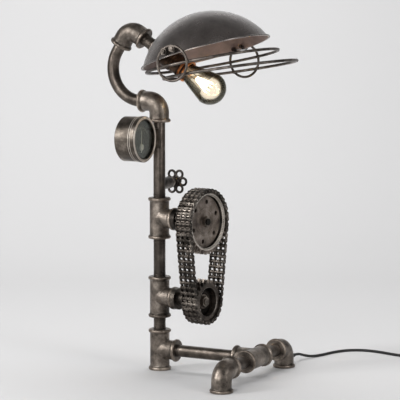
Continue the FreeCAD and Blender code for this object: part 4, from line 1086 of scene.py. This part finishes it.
def neck_point(distance):
    """Point on the neck's axis at a distance from the head elbow's centre."""
    return HEAD_AT + NECK_AXIS * distance


def make_bulb(paints):
    """Cage filament, and the thin supports that hold its bends to the stem."""
    matrix = along(neck_point(FILAMENT_AT), NECK_AXIS)
    bends = []
    for i in range(2 * FILAMENT_BAYS + 1):
        a = 2 * math.pi * i / (2 * FILAMENT_BAYS)
        radius, height = (FILAMENT_HIGH_R, FILAMENT_HALF) if i % 2 == 0 else (FILAMENT_LOW_R, -FILAMENT_HALF)
        bends.append(Vector((radius * math.cos(a), radius * math.sin(a), height)))
    bm = bmesh.new()
    for start, end in zip(bends, bends[1:]):
        add_rod(bm, start, end, FILAMENT_WIRE_R, 8)
    filament = mesh_object("cage_filament", bm, matrix)
    finish_piece(filament, "head", paints["filament_wire"], ["bulb_filament"])
    bm = bmesh.new()
    for bend in bends[:-1]:
        add_rod(bm, Z_AXIS * bend.z * 0.8, bend, SUPPORT_R, 6)
    add_rod(bm, Z_AXIS * -FILAMENT_HALF, Z_AXIS * FILAMENT_HALF * 0.85, SUPPORT_STEM_R, 16)
    supports = mesh_object("filament_supports", bm, matrix)
    finish_piece(supports, "head", paints["stem_steel"])


def make_holder_trim(paints):
    """Rolled beads round the lamp holder, and the copper collar at its mouth."""
    bm = bmesh.new()
    for distance, radius in HOLDER_BEADS:
        add_ring(bm, neck_point(distance * MM), NECK_AXIS, radius * MM, HOLDER_BEAD_R, 64, 10)
    finish_piece(mesh_object("holder_beads", bm), "head", paints["holder_dark"])
    collar = lathe("holder_collar", in_mm(COLLAR), 72, along(neck_point(COLLAR_AT), NECK_AXIS))
    finish_piece(collar, "head", paints["holder_copper"])


def guard_crossings():
    """Points where the side loops cross the planes of the guard rings."""
    ahead = Vector((math.cos(LOOP_TURN), -math.sin(LOOP_TURN), 0))
    pole = shade_pole()
    across = Vector((pole.z, 0, -pole.x))
    spots = []
    for side in (-1, 1):
        out = Vector((math.sin(LOOP_TURN), math.cos(LOOP_TURN), 0)) * side
        centre = RIM_AT - pole * LOOP_DROP + ahead * LOOP_AHEAD + out * LOOP_OUT
        for drop, shift, ease in GUARD_RINGS:
            lean = SHADE_TILT - math.radians(ease)
            normal = Vector((-math.sin(lean), 0, math.cos(lean)))
            ring = RIM_AT - pole * drop * MM + across * shift * MM
            level = (ring - centre).dot(normal) / LOOP_R
            first = math.atan2(normal.z, ahead.dot(normal))
            half = math.acos(level / math.hypot(normal.z, ahead.dot(normal)))
            for turn in (first - half, first + half):
                spoke = ahead * math.cos(turn) + Vector((0, 0, math.sin(turn)))
                spots.append(centre + spoke * LOOP_R - out * WELD_IN)
    return spots


def make_welds(paints):
    """Weld beads where the side loops cross the guard rings."""
    bm = bmesh.new()
    for spot in guard_crossings():
        part = bmesh.new()
        bmesh.ops.create_icosphere(part, subdivisions=3, radius=WELD_R)
        for vert in part.verts:
            wave = math.sin(vert.co.x * WELD_WAVES[0]) * math.sin(vert.co.z * WELD_WAVES[1])
            vert.co *= 1 + WELD_UNEVENNESS * wave
        bmesh.ops.transform(part, matrix=Matrix.Translation(spot), verts=part.verts)
        join(bm, part)
    finish_piece(mesh_object("guard_welds", bm), "head", paints["wire_iron"])


def make_lamp_light():
    """The bulb's own light, small and warm, inside the glass."""
    light = bpy.data.lights.new("bulb_light", "POINT")
    light.energy = 0.35
    light.color = (1.0, 0.72, 0.42)
    light.shadow_soft_size = 0.012
    obj = new_object("bulb_light", light)
    obj.location = neck_point(FILAMENT_AT)
    obj.visible_glossy = False


# Handwheel


def make_handwheel(paints):
    """Cast wheel of round finger loops about a domed hub."""
    bm = bmesh.new()
    for i in range(WHEEL_LOBES):
        a = 2 * math.pi * i / WHEEL_LOBES
        spoke = Vector((math.cos(a), 0, math.sin(a)))
        add_ring(bm, WHEEL_AT + spoke * WHEEL_LOBE_AT, Y_AXIS, WHEEL_LOBE_R, WHEEL_WIRE_R, 36, 12)
    hub = bmesh.new()
    turned_profile(hub, in_mm(WHEEL_HUB), 40)
    bmesh.ops.transform(hub, matrix=along(WHEEL_AT, Y_AXIS), verts=hub.verts)
    join(bm, hub)
    wheel = mesh_object("cast_handwheel", bm)
    finish_piece(wheel, "wheel", paints["wheel_bronze"], ["handwheel"])


# Surroundings


def make_camera():
    data = bpy.data.cameras.new("photo_camera")
    data.lens = CAMERA_LENS
    data.sensor_width = SENSOR
    data.sensor_fit = "HORIZONTAL"
    data.clip_start, data.clip_end = CAMERA_CLIP
    data.dof.use_dof = False
    camera = new_object("photo_camera", data)
    camera.location = CAMERA_AT
    camera.rotation_euler = (math.pi / 2 - CAMERA_DOWN, 0, CAMERA_TURN)
    bpy.context.scene.camera = camera


def make_stage():
    """Pale floor that curves up into a pale wall behind the lamp."""
    foot = STAGE_WALL - STAGE_CURVE_R
    profile = [(STAGE_NEAR, 0.0), (foot, 0.0)]
    for i in range(1, STAGE_CURVE_STEPS + 1):
        a = math.pi / 2 * i / STAGE_CURVE_STEPS
        profile.append((foot + STAGE_CURVE_R * math.sin(a), STAGE_CURVE_R - STAGE_CURVE_R * math.cos(a)))
    profile.append((STAGE_WALL, STAGE_HEIGHT))
    bm = bmesh.new()
    rows = [[bm.verts.new((x, y, z)) for x in (-STAGE_HALF_WIDTH, STAGE_HALF_WIDTH)] for y, z in profile]
    for low, high in zip(rows, rows[1:]):
        bm.faces.new((low[0], low[1], high[1], high[0]))
    floor = mesh_object("pale_stage", bm, Matrix.Rotation(CAMERA_TURN, 4, "Z"))
    floor.data.flip_normals()
    floor.data.materials.append(stage_paint("stage_paint", STAGE_SEEN, STAGE_LIT))


def area_light(name, place, target, size, power, glossy):
    light = bpy.data.lights.new(name, "AREA")
    light.shape = "RECTANGLE"
    light.size, light.size_y = size
    light.energy = power
    obj = new_object(name, light)
    obj.location = place
    obj.rotation_euler = (Vector(target) - Vector(place)).to_track_quat("-Z", "Y").to_euler()
    obj.visible_glossy = glossy


def make_lights():
    for light in LIGHTS:
        area_light(*light)
    world = bpy.data.worlds.new("soft_room")
    world.use_nodes = True
    background = world.node_tree.nodes["Background"]
    background.inputs["Color"].default_value = (1, 1, 1, 1)
    background.inputs["Strength"].default_value = ROOM_LIGHT
    bpy.context.scene.world = world


def paint_frame(frame, paints):
    """Gives every node its slot's material, or its own where it has one."""
    slots = {part["node"]: part["material_slot"] for part in frame["record"]["subparts"]}
    for name, obj in frame["nodes"].items():
        obj.data.materials.clear()
        obj.data.materials.append(paints[OWN_MATERIALS.get(name, slots[name])])


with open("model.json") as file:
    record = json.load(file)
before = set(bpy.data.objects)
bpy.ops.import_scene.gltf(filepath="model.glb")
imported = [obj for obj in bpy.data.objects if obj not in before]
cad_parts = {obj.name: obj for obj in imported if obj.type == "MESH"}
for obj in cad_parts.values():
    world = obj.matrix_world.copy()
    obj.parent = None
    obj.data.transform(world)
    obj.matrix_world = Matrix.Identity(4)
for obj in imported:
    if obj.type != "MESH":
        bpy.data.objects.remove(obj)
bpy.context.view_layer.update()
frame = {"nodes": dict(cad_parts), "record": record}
bpy.context.scene.view_settings.view_transform = "Standard"
make_camera()
materials = make_materials()
paint_frame(frame, materials)
make_cord(materials)
repeat = repeat_tree()
make_pipework(materials, repeat)
make_chain(materials, repeat)
make_upper_trim(materials)
make_lower_trim(materials)
make_gauge(materials, repeat)
make_bulb(materials)
make_holder_trim(materials)
make_welds(materials)
make_handwheel(materials)
make_lamp_light()
make_stage()
make_lights()
